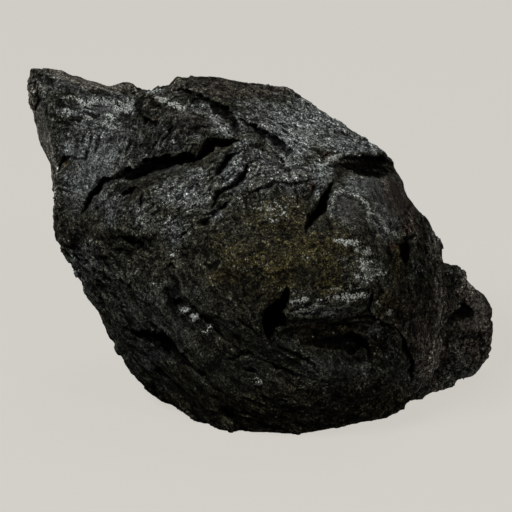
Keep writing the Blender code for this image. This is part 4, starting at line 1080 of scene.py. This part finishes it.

# %% Strokes of painted shade
LINES |= {
    # dark lines of painted shade in cracks and under edges
    "painted_shade": [
        [(-28.0, 40.8, 0.6, 0.9), (-28.9, 38.5, 0.9, 1.0), (-28.9, 36.2, 0.8, 1.0), (-27.8, 34.2, 0.5, 0.8)],
        [(-20.6, 41.0, 0.7, 0.5), (-16.0, 40.6, 0.9, 0.7), (-12.6, 39.6, 0.8, 0.7), (-10.6, 38.0, 0.9, 0.8),
         (-9.0, 36.2, 1.2, 0.95), (-7.4, 35.0, 1.1, 0.95), (-6.4, 33.0, 0.8, 0.9), (-5.4, 31.0, 0.6, 0.9)],
        [(-22.0, 27.0, 0.35, 0.8), (-20.4, 31.6, 0.4, 0.9)],
        [(-23.6, 27.4, 0.35, 0.8), (-22.2, 31.0, 0.35, 0.8)],
        [(-25.2, 27.4, 0.3, 0.7), (-24.0, 30.4, 0.3, 0.7)],
        [(-16.4, 31.7, 0.3, 0.8), (-11.4, 31.9, 0.4, 0.9)],
        [(-18.4, 30.2, 0.3, 0.5), (-14.0, 30.6, 0.3, 0.6)],
        [(-17.0, 33.6, 0.3, 0.6), (-13.0, 34.2, 0.3, 0.6)], [(4.7, 15.4, 0.5, 0.8), (4.7, 17.6, 0.5, 0.8)],
        [(9.7, 13, 0.5, 0.8), (9.7, 17, 0.5, 0.9)], [(0.6, 12, 0.45, 0.8), (0.5, 16, 0.5, 0.8)],
        [(0.5, 19, 0.5, 0.7), (0.6, 20.2, 0.4, 0.7)], [(2.4, 19, 0.5, 0.7), (2.6, 20.2, 0.4, 0.7)],
        [(24.0, -14.9, 0.4, 0.8), (27.2, -13.2, 0.5, 0.9)],
        [(-42.2, 24.2, 0.4, 1.0), (-41.8, 26.6, 0.4, 1.0), (-40.6, 30.0, 0.35, 0.9)],
        [(-39.8, 25.6, 0.4, 1.0), (-39.3, 27.6, 0.45, 1.0), (-38.8, 29.8, 0.4, 0.9)],
        [(-44.8, 27.0, 0.35, 0.8), (-44.0, 30.3, 0.35, 0.8)],
        [(-42.9, 28.2, 0.35, 0.7), (-42.4, 30.4, 0.35, 0.7)],
        [(-36.0, 27.0, 0.35, 0.7), (-34.8, 30.6, 0.35, 0.8)],
        [(-27.4, 27.2, 0.35, 0.8), (-25.9, 29.6, 0.35, 0.9)],
        [(-49.4, 18.3, 0.4, 0.7), (-47.6, 17.6, 0.4, 0.7), (-45.4, 17.2, 0.35, 0.5)],
        [(-49.0, 16.8, 0.4, 0.6), (-45.0, 15.6, 0.4, 0.6)],
        [(-45.2, 24.3, 0.35, 0.8), (-42.2, 24.0, 0.35, 0.7)],
        [(-29.6, 38.6, 0.5, 0.8), (-29.6, 36.0, 0.6, 0.9), (-28.4, 33.6, 0.5, 0.7)],
        [(-55.0, 41.0, 0.5, 0.9), (-54.9, 37.6, 0.5, 0.9)], [(-52.2, 36.2, 0.45, 0.9), (-52, 35, 0.45, 0.9)],
        [(-51.8, 34.8, 0.4, 0.8), (-50.2, 34.6, 0.4, 0.8)],
        [(-49.4, 42.0, 0.4, 0.7), (-47.2, 41.8, 0.4, 0.7)],
        [(-40.6, 41.0, 0.6, 0.8), (-38.0, 40.9, 0.5, 0.8)],
        [(-51.6, 40.0, 0.35, 0.8), (-48, 40.2, 0.45, 0.9), (-45.8, 40.5, 0.5, 0.9)],
        [(-49.6, 37.2, 0.5, 0.9), (-45.4, 37.2, 0.5, 0.9)],
        [(-49.6, 38.6, 0.45, 0.8), (-48.4, 38.3, 0.45, 0.8)],
        [(-46.4, 33.7, 0.5, 0.9), (-44.4, 33.8, 0.5, 0.9)], [(-42, 33.6, 0.5, 0.9), (-41.2, 33.7, 0.5, 0.9)],
        [(-45.6, 37.7, 0.4, 0.8), (-44.2, 37.5, 0.4, 0.8)], [(-48, 31.8, 0.4, 0.6), (-47.4, 30.0, 0.4, 0.6)],
        [(-32.3, 25.3, 0.4, 0.9), (-30.5, 29.0, 0.4, 0.9)], [(-50.6, 30, 0.4, 0.6), (-49.9, 25, 0.4, 0.6)],
    ],
}
print(len(LINES["painted_shade"]), "lines")

# %% Warm rims of painted light
LINES |= {
    # bright lines along the outline: painted light on the side faces, warm in tone
    "side": [
        [(-56, 41, 0.9, 0.8), (-54.6, 36, 1.6, 0.9), (-53.4, 31, 1.9, 0.9), (-51.6, 26.5, 1.5, 0.9),
         (-50.3, 22, 0.9, 0.8), (-50, 15, 0.5, 0.7)],
        [(44.2, 4, 0.8, 0.6), (45.2, -5, 1.0, 0.7), (46.2, -10, 1.1, 0.65), (46.6, -18, 1.3, 0.9),
         (45.2, -24, 1.6, 0.8), (43.4, -30, 1.6, 0.6)],
        [(53.0, -5, 1.0, 0.6), (55.4, -9.6, 1.7, 0.9), (57.2, -13.6, 1.9, 0.9), (58.6, -19, 0.9, 0.7)],
        [(-51, 46.4, 1.2, 0.7), (-45, 44.2, 1.5, 0.8), (-39, 42.8, 1.5, 0.8), (-33, 42.2, 1.2, 0.7),
         (-29.4, 41, 0.7, 0.5)],
    ],
}
print(len(LINES["side"]), "lines")

# %% Laying the patches and the lines on the skin
LINE_FRAY = ((1.6, 0.30), (0.8, 0.25))  # clouds that fray the edges: size in millimetres, and height
PATCH_FRAY = ((5.0, 0.35), (1.8, 0.25))
PATCH_BEND = (1.3, 0.4)  # and one that bends a patch: size, and how far
LINE_EDGE, PATCH_EDGE = 1.5, 1.35  # how many widths or reaches from its middle the strength ends
LINE_BACK, PATCH_BACK = (-26, -18), (-20, -12)  # out, in millimetres: where each ends and is full
PATCH_SALT, SALTS_A_PATCH = 200, 10
LINE_SALT, SIDE_SALT = 300, 310


def line_strength(face, lines, salt):
    total = np.zeros(len(face))
    fray = clouds(face, LINE_FRAY, salt)
    for line in lines:
        gap, width, strength = from_lip(face[:, :2], line)
        total = np.maximum(total, strength * fade(LINE_EDGE - np.abs(gap) / width + fray, 0, 1))
    return total * fade(outness(face), *LINE_BACK)


def patch_strength(face, patches, salt):
    total = np.zeros(len(face))
    fray = clouds(face, PATCH_FRAY, salt)
    bent = face[:, :2] + wander(face, *PATCH_BEND, salt + 2, salt + 3)
    for across, up, *reach, strength in patches:
        gap = (bent - (across, up)) / reach
        inside = strength * fade(PATCH_EDGE - np.linalg.norm(gap, axis=1) + fray, 0, 1)
        total = np.maximum(total, inside)
    return total * fade(outness(face), *PATCH_BACK)


face = along_face(skin_points(lump)[0])
for number, (name, patches) in enumerate(PATCHES.items()):
    strength = patch_strength(face, patches, PATCH_SALT + SALTS_A_PATCH * number)
    lines = line_strength(face, LINES.get(name, []), LINE_SALT)
    store(lump, name, np.maximum(strength, lines))
# side: the rims of painted light
store(lump, "side", line_strength(face, LINES["side"], SIDE_SALT))

# %% [markdown]
# ## The grain, for the finish too
#
# The finest grain of the break is too small for the net, so the finish will draw it. It should run
# the same way as the chips do. A UV map could carry that direction, but it would have seams. So each
# point keeps its own place measured along the grain of the part that it belongs to, and a pattern
# drawn in those numbers comes out drawn out the right way.

# %% A place measured along the grain
SMALL_SHARE, BROAD_SHARE = 0.6, 0.4  # how much of a chip's tone comes from each size
ROUGH_STEP = 0.7  # chips that step this far or more differ most in tone
LEAST_TONE = 0.2  # and the smoothest ones differ by this share of it
PARTS_APART = 40  # millimetres between the parts in the pattern, so that none repeats


def chip_tone(points, stretch, size, salt=0):
    """A number for each chip: how much light it catches."""
    _, owner = cells(points / (stretch, 1, 1), size, salt)
    return chance(owner, salt + LEAN_SALTS[0])


def grain_place(points):
    """Each point's place along its own grain, and how much light its chip catches."""
    face = wandering_face(points)
    weights = [back_weight(face) + 1e-6, *part_weights(face)]  # a little more, so that one always wins
    strongest = np.argmax(weights, axis=0)
    place = points / (BACK_GRAIN[0], 1, 1)
    tone = chip_tone(points, *BACK_GRAIN[:2])
    for number, (across, up, _, slope, stretch, size, _, step) in enumerate(GRAIN.values()):
        own = strongest == number + 1
        turned = along_grain(face[own], (across, up), slope)
        small = chip_tone(turned, stretch, size, SALTS_A_PART * number)
        broad = chip_tone(turned, stretch, size * BROAD, SALTS_A_PART * number + BROAD_SALT)
        contrast = np.clip(step / ROUGH_STEP, LEAST_TONE, 1)
        tone[own] = 0.5 + (SMALL_SHARE * small + BROAD_SHARE * broad - 0.5) * contrast
        place[own] = turned / (stretch, 1, 1)
        place[own, 2] += PARTS_APART * number
    return place, tone


place, tone = grain_place(skin_points(lump)[0])
along = lump.data.attributes.new("grain", "FLOAT_VECTOR", "POINT")
along.data.foreach_set("vector", place.astype(np.float32).ravel())
store(lump, "tone", tone)

# %% [markdown]
# ## The finish
#
# One Principled BSDF makes all of it. A scanned picture of pitch would bring its own light and its
# own chips, so the finish is made of patterns instead. Every pattern reads Object coordinates,
# scaled so that one unit is a millimetre, or the place along the grain, so it sits in the stone like
# real grain.
#
# A node tree in code grows long, so a few helpers come first. Each adds one node, links what it is
# given, and hands back the new node's answer.

# %% Adding nodes and linking them
def add_node(tree, kind, **settings):
    made = tree.nodes.new(kind)
    for name, value in settings.items():
        setattr(made, name, value)
    return made


def feed(tree, socket, value):
    """Links a socket into this one, or sets a plain value on it."""
    if isinstance(value, bpy.types.NodeSocket):
        tree.links.new(value, socket)
    else:
        socket.default_value = value


print("helpers:", add_node.__name__, feed.__name__)

# %% Reckoning with nodes
def reckon(tree, operation, *values):
    """One Math node, and its answer."""
    made = add_node(tree, "ShaderNodeMath", operation=operation)
    for socket, value in zip(made.inputs, values):
        feed(tree, socket, value)
    return made.outputs[0]


def times(tree, first, *others):
    """The product of these values."""
    for other in others:
        first = reckon(tree, "MULTIPLY", first, other)
    return first


def from_range(tree, value, low, high, new_low=0.0, new_high=1.0):
    """Stretches the range low to high of a value to another range."""
    made = add_node(tree, "ShaderNodeMapRange")
    for socket, given in zip(made.inputs, (value, low, high, new_low, new_high)):
        feed(tree, socket, given)
    return made.outputs[0]


def blend(tree, share, first, second):
    """A colour between two colours."""
    made = add_node(tree, "ShaderNodeMix", data_type="RGBA")
    for number, value in ((0, share), (6, first), (7, second)):  # the colours' own sockets are 6 and 7
        feed(tree, made.inputs[number], value)
    return made.outputs[2]


def reckon_vector(tree, operation, first, second):
    """One Vector Math node, and its answer."""
    made = add_node(tree, "ShaderNodeVectorMath", operation=operation)
    feed(tree, made.inputs[0], first)
    feed(tree, made.inputs["Scale" if operation == "SCALE" else 1], second)
    return made.outputs["Value" if operation == "DOT_PRODUCT" else "Vector"]


print("helpers:", *(made.__name__ for made in (reckon, times, from_range, blend, reckon_vector)))

# %% [markdown]
# ## Patterns
#
# Pitch breaks up light at every scale. A mottle of some millimetres comes from how thick the dust
# lies. Strokes and gaps run along the grain. The grain itself is under half a millimetre. Noise
# textures are right for these, because nothing in them repeats. Chips, crumbs and dust are flat
# and have borders, so they come from Voronoi textures: each cell's own colour tilts it like a facet
# and tells it from its neighbours.

# %% Noise and facets
FACET_TILT = 0.5


def noise(tree, place, scale, detail, roughness):
    made = add_node(tree, "ShaderNodeTexNoise")
    values = {"Vector": place, "Scale": scale, "Detail": detail, "Roughness": roughness}
    for name, value in values.items():
        feed(tree, made.inputs[name], value)
    return made.outputs[0]


def facets(tree, place, scale):
    """The height of tiny flat chips, each tilted its own way, and three numbers that each chip has."""
    made = add_node(tree, "ShaderNodeTexVoronoi")
    feed(tree, made.inputs["Vector"], place)
    feed(tree, made.inputs["Scale"], scale)
    gap = reckon_vector(tree, "SUBTRACT", place, made.outputs["Position"])
    lean = reckon_vector(tree, "SUBTRACT", made.outputs["Color"], (0.5, 0.5, 0.5))
    slope = reckon_vector(tree, "DOT_PRODUCT", gap, lean)
    apart = add_node(tree, "ShaderNodeSeparateColor")
    feed(tree, apart.inputs[0], made.outputs["Color"])
    return times(tree, slope, 2 * FACET_TILT), *apart.outputs


print("pattern helpers:", noise.__name__, facets.__name__)

# %% Every pattern by its name
#   noise: (lumps in a millimetre, detail, roughness)
NOISES = {
    "mottle": (0.30, 3.0, 0.6),
    "strokes": (1.1, 4.0, 0.8),
    "grain": (2.6, 3.0, 0.8),
    "gaps": (0.55, 5.0, 0.8),
    "flecks": (1.1, 4.0, 0.8),
}
FACETS = {"chip": 0.7, "crumb": 2.3, "dust": 3.4}  # how many in a millimetre
ALONG_GRAIN = ("strokes", "gaps", "chip")
KEPT = ("edge", "hollow", "tone", "side", *PATCHES)  # what the skin keeps, as numbers


def patterns_of(tree):
    """Every pattern that the finish reads, by its name."""
    coordinates = add_node(tree, "ShaderNodeTexCoord").outputs["Object"]
    place = reckon_vector(tree, "SCALE", coordinates, 1 / MM)
    along = add_node(tree, "ShaderNodeAttribute", attribute_name="grain").outputs["Vector"]
    found = {}
    for name in KEPT:
        found[name] = add_node(tree, "ShaderNodeAttribute", attribute_name=name).outputs["Fac"]
    for name, kind in NOISES.items():
        found[name] = noise(tree, along if name in ALONG_GRAIN else place, *kind)
    for name, scale in FACETS.items():
        made = facets(tree, along if name in ALONG_GRAIN else place, scale)
        found |= zip((name, f"{name}'s first", f"{name}'s second", f"{name}'s third"), made)
    found["crumb or mottle"] = reckon(tree, "ADD", found["crumb's first"], found["mottle"])
    return found


print("patterns:", *NOISES, *FACETS)

# %% [markdown]
# ## Colour
#
# The colour starts almost black. Each kind of patch then lays its tint over it, in this order: the
# dust and painted sheen first, because the brown and the warm tone with its painted light show
# through it, and the painted shade last, because what lies in shade in a deep hollow is black
# whatever its tint. A mix of all of them at once would turn grey where they overlap. In the painted
# shade, some crumbs still catch a painted glint.

# %% The tints
BLACK = (0.0242, 0.0234, 0.0166, 1)
TINTS = {
    # painted sheen on the upper faces, partly the colour of fine dust
    "dust_and_sheen": (0.126, 0.1345, 0.129, 1),
    "slate": (0.0340, 0.0352, 0.0320, 1),
    "brown": (0.0352, 0.0284, 0.0092, 1),
    # warm tone with painted light, for the side faces
    "warm_and_lit": (0.0585, 0.049, 0.0405, 1),
    "stain": (0.050, 0.024, 0.014, 1),
    # painted light on the side rims, warm in tone
    "side": (0.140, 0.130, 0.108, 1),
    # painted shade, laid last over every other tint
    "painted_shade": (0.0058, 0.0057, 0.0034, 1),
}
GLINT = (0.0600, 0.0600, 0.0480, 1)
GLINTS = {"crumb's third": (0.80, 0.95), "strokes": (0.45, 0.6)}  # where the glints are


def product(tree, patterns, ranges):
    """The product of the named patterns, each stretched from its own range."""
    return times(tree, *(from_range(tree, patterns[name], *ends) for name, ends in ranges.items()))


def tinted(tree, patterns):
    colour = BLACK
    for name, tint in TINTS.items():
        colour = blend(tree, patterns[name], colour, tint)
    # painted glints on a few crumbs inside the painted shade
    glint = times(tree, product(tree, patterns, GLINTS), patterns["painted_shade"])
    return blend(tree, glint, colour, GLINT)


print("tints:", *TINTS)

# %% [markdown]
# ## What breaks up the light
#
# A black break is never evenly black. Its chips lie at all angles, so one is lit and the next is
# not. The bump further down does some of that, but at this scale the render would need far more
# samples to show it. So the patterns also make the colour itself lighter and darker, each by its own
# range. Where the stone is calm, on the smooth faces, fewer of them count.

# %% Lighter and darker
#   pattern: (from, to, how light it makes the stone at the one, and at the other)
ROUGH_LIGHT = {
    "grain": (0.36, 0.64, 0.25, 2.0),
    "strokes": (0.36, 0.64, 0.50, 1.6),
    "gaps": (0.40, 0.50, 0.18, 1.2),
    "mottle": (0.35, 0.65, 0.8, 1.2),
    "crumb's second": (0, 1, 0.45, 1.6),
    "crumb or mottle": (0.58, 0.80, 0.12, 1.15),
    "dust's first": (0.90, 1.0, 1.0, 3.0),
    "tone": (0, 1, 0.72, 1.30),
    "dust's second": (0, 1, 0.08, 2.2),
    # painted shade: the hollows are darkened
    "hollow": (0, 1, 1, 0.15),
    # painted highlight on the edges, partly rubbed wear
    "edge": (0, 1, 0.95, 1.9),
}
CALM_LIGHT = {
    "grain": (0.36, 0.64, 0.50, 1.7),
    "dust's second": (0, 1, 0.10, 2.15),
    "gaps": (0.40, 0.50, 0.55, 1.1),
    # painted shade in the hollows
    "hollow": (0, 1, 1, 0.2),
}


def lit(tree, patterns, colour):
    rough, calm = (product(tree, patterns, ranges) for ranges in (ROUGH_LIGHT, CALM_LIGHT))
    light = from_range(tree, patterns["calm"], 0, 1, rough, calm)
    return reckon_vector(tree, "SCALE", colour, light)


print("patterns in the light:", len(ROUGH_LIGHT), "where it is rough,", len(CALM_LIGHT), "where it is calm")

# %% [markdown]
# ## Flecks and gleams
#
# Here and there a mirror-flat chip happens to face the light, and flashes almost white. Real mirrors
# this small would come and go with every sample, so the flash is a colour too. Flecks are a noise cut
# off near its top: the more a place glitters, the lower the cut. Gleams are whole crumbs, and they
# keep to their own patches and lines.

# %% Flecks and gleams
FLECK = (0.84, 0.87, 0.80, 1)
DUST_AND_SHEEN_SHINE = 0.4  # how much the dust and painted sheen glitters, where a glittering patch is 1
CUT_DULL, CUT_BRIGHT = 0.68, 0.455  # where the noise is cut where nothing glitters, and where all does
FLECK_EDGE, GLEAM_EDGE = 0.04, 0.15  # how far above the cut a fleck or a gleam is full
FLECKS = {"grain": (0.40, 0.50), "dust's second": (0.15, 0.75, 0.15, 1.2), "glitter": (0, 1, 0.30, 1.0)}
GLEAMS = {"dust's second": (0.15, 0.75, 0.15, 1.3), "gleam": (0.02, 0.3)}
GLEAMING = 0.75  # the share of the crumbs that gleam where the gleam is strongest


def above(tree, value, cut, edge):
    """0 where the value is under the cut, and 1 where it is over it by the edge."""
    return from_range(tree, reckon(tree, "SUBTRACT", value, cut), 0.0, edge)


def flecked(tree, patterns, colour):
    shine = reckon(tree, "MAXIMUM", patterns["glitter"], times(tree, patterns["dust_and_sheen"], DUST_AND_SHEEN_SHINE))
    cut = from_range(tree, shine, 0, 1, CUT_DULL, CUT_BRIGHT)
    fleck = above(tree, patterns["flecks"], cut, FLECK_EDGE)
    fleck = times(tree, fleck, product(tree, patterns, FLECKS))
    few = reckon(tree, "MULTIPLY_ADD", patterns["gleam"], -GLEAMING, 1.0)
    gleam = above(tree, patterns["crumb's third"], few, GLEAM_EDGE)
    gleam = times(tree, gleam, product(tree, patterns, GLEAMS))
    return blend(tree, reckon(tree, "MAXIMUM", fleck, gleam), colour, FLECK)


print("flecks cut at", CUT_BRIGHT, "to", CUT_DULL)

# %% [markdown]
# ## Gloss and the finest relief
#
# Fresh pitch shines like glass, but years in the open dull it, and each chip has weathered its own
# way. So the roughness differs from chip to chip, and the specular level is low, because dust covers
# most of the skin. What is finer than the net is a bump: it bends only the light, which is enough for
# relief of a tenth of a millimetre.

# %% The gilsonite itself
GLOSS = (0, 1, 0.30, 0.60)
RELIEF = {"strokes": 1.0, "grain": 0.6, "chip": 0.3, "crumb": 0.3}
RELIEF_HEIGHT = 0.6  # millimetres


def bumped(tree, patterns):
    parts = [times(tree, patterns[name], share) for name, share in RELIEF.items()]
    relief = parts[0]
    for part in parts[1:]:
        relief = reckon(tree, "ADD", relief, part)
    bump = add_node(tree, "ShaderNodeBump")
    bump.inputs["Strength"].default_value = 1.0
    bump.inputs["Distance"].default_value = RELIEF_HEIGHT * MM
    feed(tree, bump.inputs["Height"], relief)
    return bump.outputs[0]


def gilsonite():
    made = bpy.data.materials.new("gilsonite")
    made.use_nodes = True
    tree = made.node_tree
    shader = tree.nodes["Principled BSDF"]
    patterns = patterns_of(tree)
    colour = flecked(tree, patterns, lit(tree, patterns, tinted(tree, patterns)))
    feed(tree, shader.inputs["Base Color"], colour)
    feed(tree, shader.inputs["Roughness"], from_range(tree, patterns["chip's third"], *GLOSS))
    shader.inputs["IOR"].default_value = 1.6
    shader.inputs["Specular IOR Level"].default_value = 0.06
    feed(tree, shader.inputs["Normal"], bumped(tree, patterns))
    return made


lump.data.materials.clear()
lump.data.materials.append(gilsonite())
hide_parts("gilsonite_lump")
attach(lump, "root")
print("finish on:", lump.name, "with", len(lump.data.materials[0].node_tree.nodes), "nodes")

# %% [markdown]
# ## The ground
#
# The lump stands on plain pale paper, lit so evenly that the paper has one tone. A plane with a wall
# behind it would do for one view. The paper here is a wide round sheet with a rim that stands up all
# round, so that it fills the view from every side. Paper that glows a little by itself keeps that
# even tone and still takes a faint shadow.

# %% The paper
PAPER_RADIUS, PAPER_HEIGHT = 2.5, 1.6  # metres
PAPER_CORNERS = 96
PAPER_FINISH = {
    "Base Color": (0.10, 0.10, 0.10, 1),
    "Roughness": 0.9,
    "Specular IOR Level": 0.0,
    "Emission Color": (0.645, 0.622, 0.572, 1),
    "Emission Strength": 0.90,
}


def paper():
    bpy.ops.mesh.primitive_circle_add(vertices=PAPER_CORNERS, radius=PAPER_RADIUS, fill_type="NGON")
    sheet = bpy.context.object
    sheet.name = "paper"
    bpy.ops.object.mode_set(mode="EDIT")
    bpy.ops.mesh.select_all(action="SELECT")
    bpy.ops.mesh.region_to_loop()
    bpy.ops.mesh.extrude_region_move(TRANSFORM_OT_translate={"value": (0, 0, PAPER_HEIGHT)})
    bpy.ops.object.mode_set(mode="OBJECT")
    sheet.data.shade_smooth()
    return sheet


floor = paper()
finish = bpy.data.materials.new("paper")
finish.use_nodes = True
for name, value in PAPER_FINISH.items():
    finish.node_tree.nodes["Principled BSDF"].inputs[name].default_value = value
floor.data.materials.append(finish)
floor.visible_diffuse = False  # the glow is for the camera only: it doesn't light the stone
floor.visible_glossy = False
print("paper:", [round(side, 2) for side in floor.dimensions], "m")

# %% [markdown]
# ## Light
#
# A black stone is lit by what it mirrors. A soft box high on the left rakes the slab and the top
# slope and leaves the underside black. A smaller one at the right picks out the edge of the bulge,
# and a wide weak one above and behind lifts the back. The sky around them is dim, so the lower half
# keeps its depth. A picture of a studio as the sky would light it too, but each soft box can be moved
# by itself.

# %% Soft boxes and sky
#   soft box: (place, size, watts, tint), in metres
SOFT_BOXES = {
    "key": ((-0.42, -0.30, 0.62), 0.24, 3.35, (0.97, 0.99, 1.0)),
    "edge": ((0.55, -0.55, 0.40), 0.16, 1.5, (1.0, 0.97, 0.92)),
    "top": ((0.10, 0.35, 0.75), 0.40, 1.2, (1, 1, 1)),
}
AIM = Vector((0, 0, 0.035))
SKY_TINT, SKY_STRENGTH = (0.95, 0.97, 1.0, 1), 0.03


def look_along(obj, way):
    """Turns a light or a camera so that it faces this way."""
    obj.rotation_mode = "QUATERNION"
    obj.rotation_quaternion = way.to_track_quat("-Z", "Y")


def soft_box(name, place, size, power, tint):
    light = bpy.data.lights.new(name, "AREA")
    light.shape = "SQUARE"
    light.size = size
    light.energy = power
    light.color = tint
    box = bpy.data.objects.new(name, light)
    bpy.context.scene.collection.objects.link(box)
    box.location = place
    look_along(box, AIM - Vector(place))


for name, kind in SOFT_BOXES.items():
    soft_box(name, *kind)
sky = bpy.data.worlds.new("studio")
bpy.context.scene.world = sky
sky.use_nodes = True
sky.node_tree.nodes["Background"].inputs["Color"].default_value = SKY_TINT
sky.node_tree.nodes["Background"].inputs["Strength"].default_value = SKY_STRENGTH
bpy.context.scene.view_settings.view_transform = "Standard"

# %% [markdown]
# ## The view
#
# The camera stands almost a metre away and looks down by 20 degrees, straight at the leaning front
# face. A short lens close by would fill the picture too, but it would swell the middle. A long lens
# keeps the outline true.

# %% The camera
VIEW_HEIGHT = math.radians(20)
VIEW_DISTANCE = 0.9
VIEW_WIDTH = 0.128  # metres across the picture, at the stone
SENSOR = 36.0
NEAREST_SEEN = 0.01  # metres
camera_data = bpy.data.cameras.new("camera")
camera_data.sensor_width = SENSOR
camera_data.lens = SENSOR * VIEW_DISTANCE / VIEW_WIDTH
camera_data.clip_start = NEAREST_SEEN
camera = bpy.data.objects.new("camera", camera_data)
bpy.context.scene.collection.objects.link(camera)
bpy.context.scene.camera = camera
back = Vector((0, -math.cos(VIEW_HEIGHT), math.sin(VIEW_HEIGHT)))
camera.location = Vector(FACE_MIDDLE * MM) + back * VIEW_DISTANCE
look_along(camera, -back)
print("lens:", round(camera_data.lens), "mm")
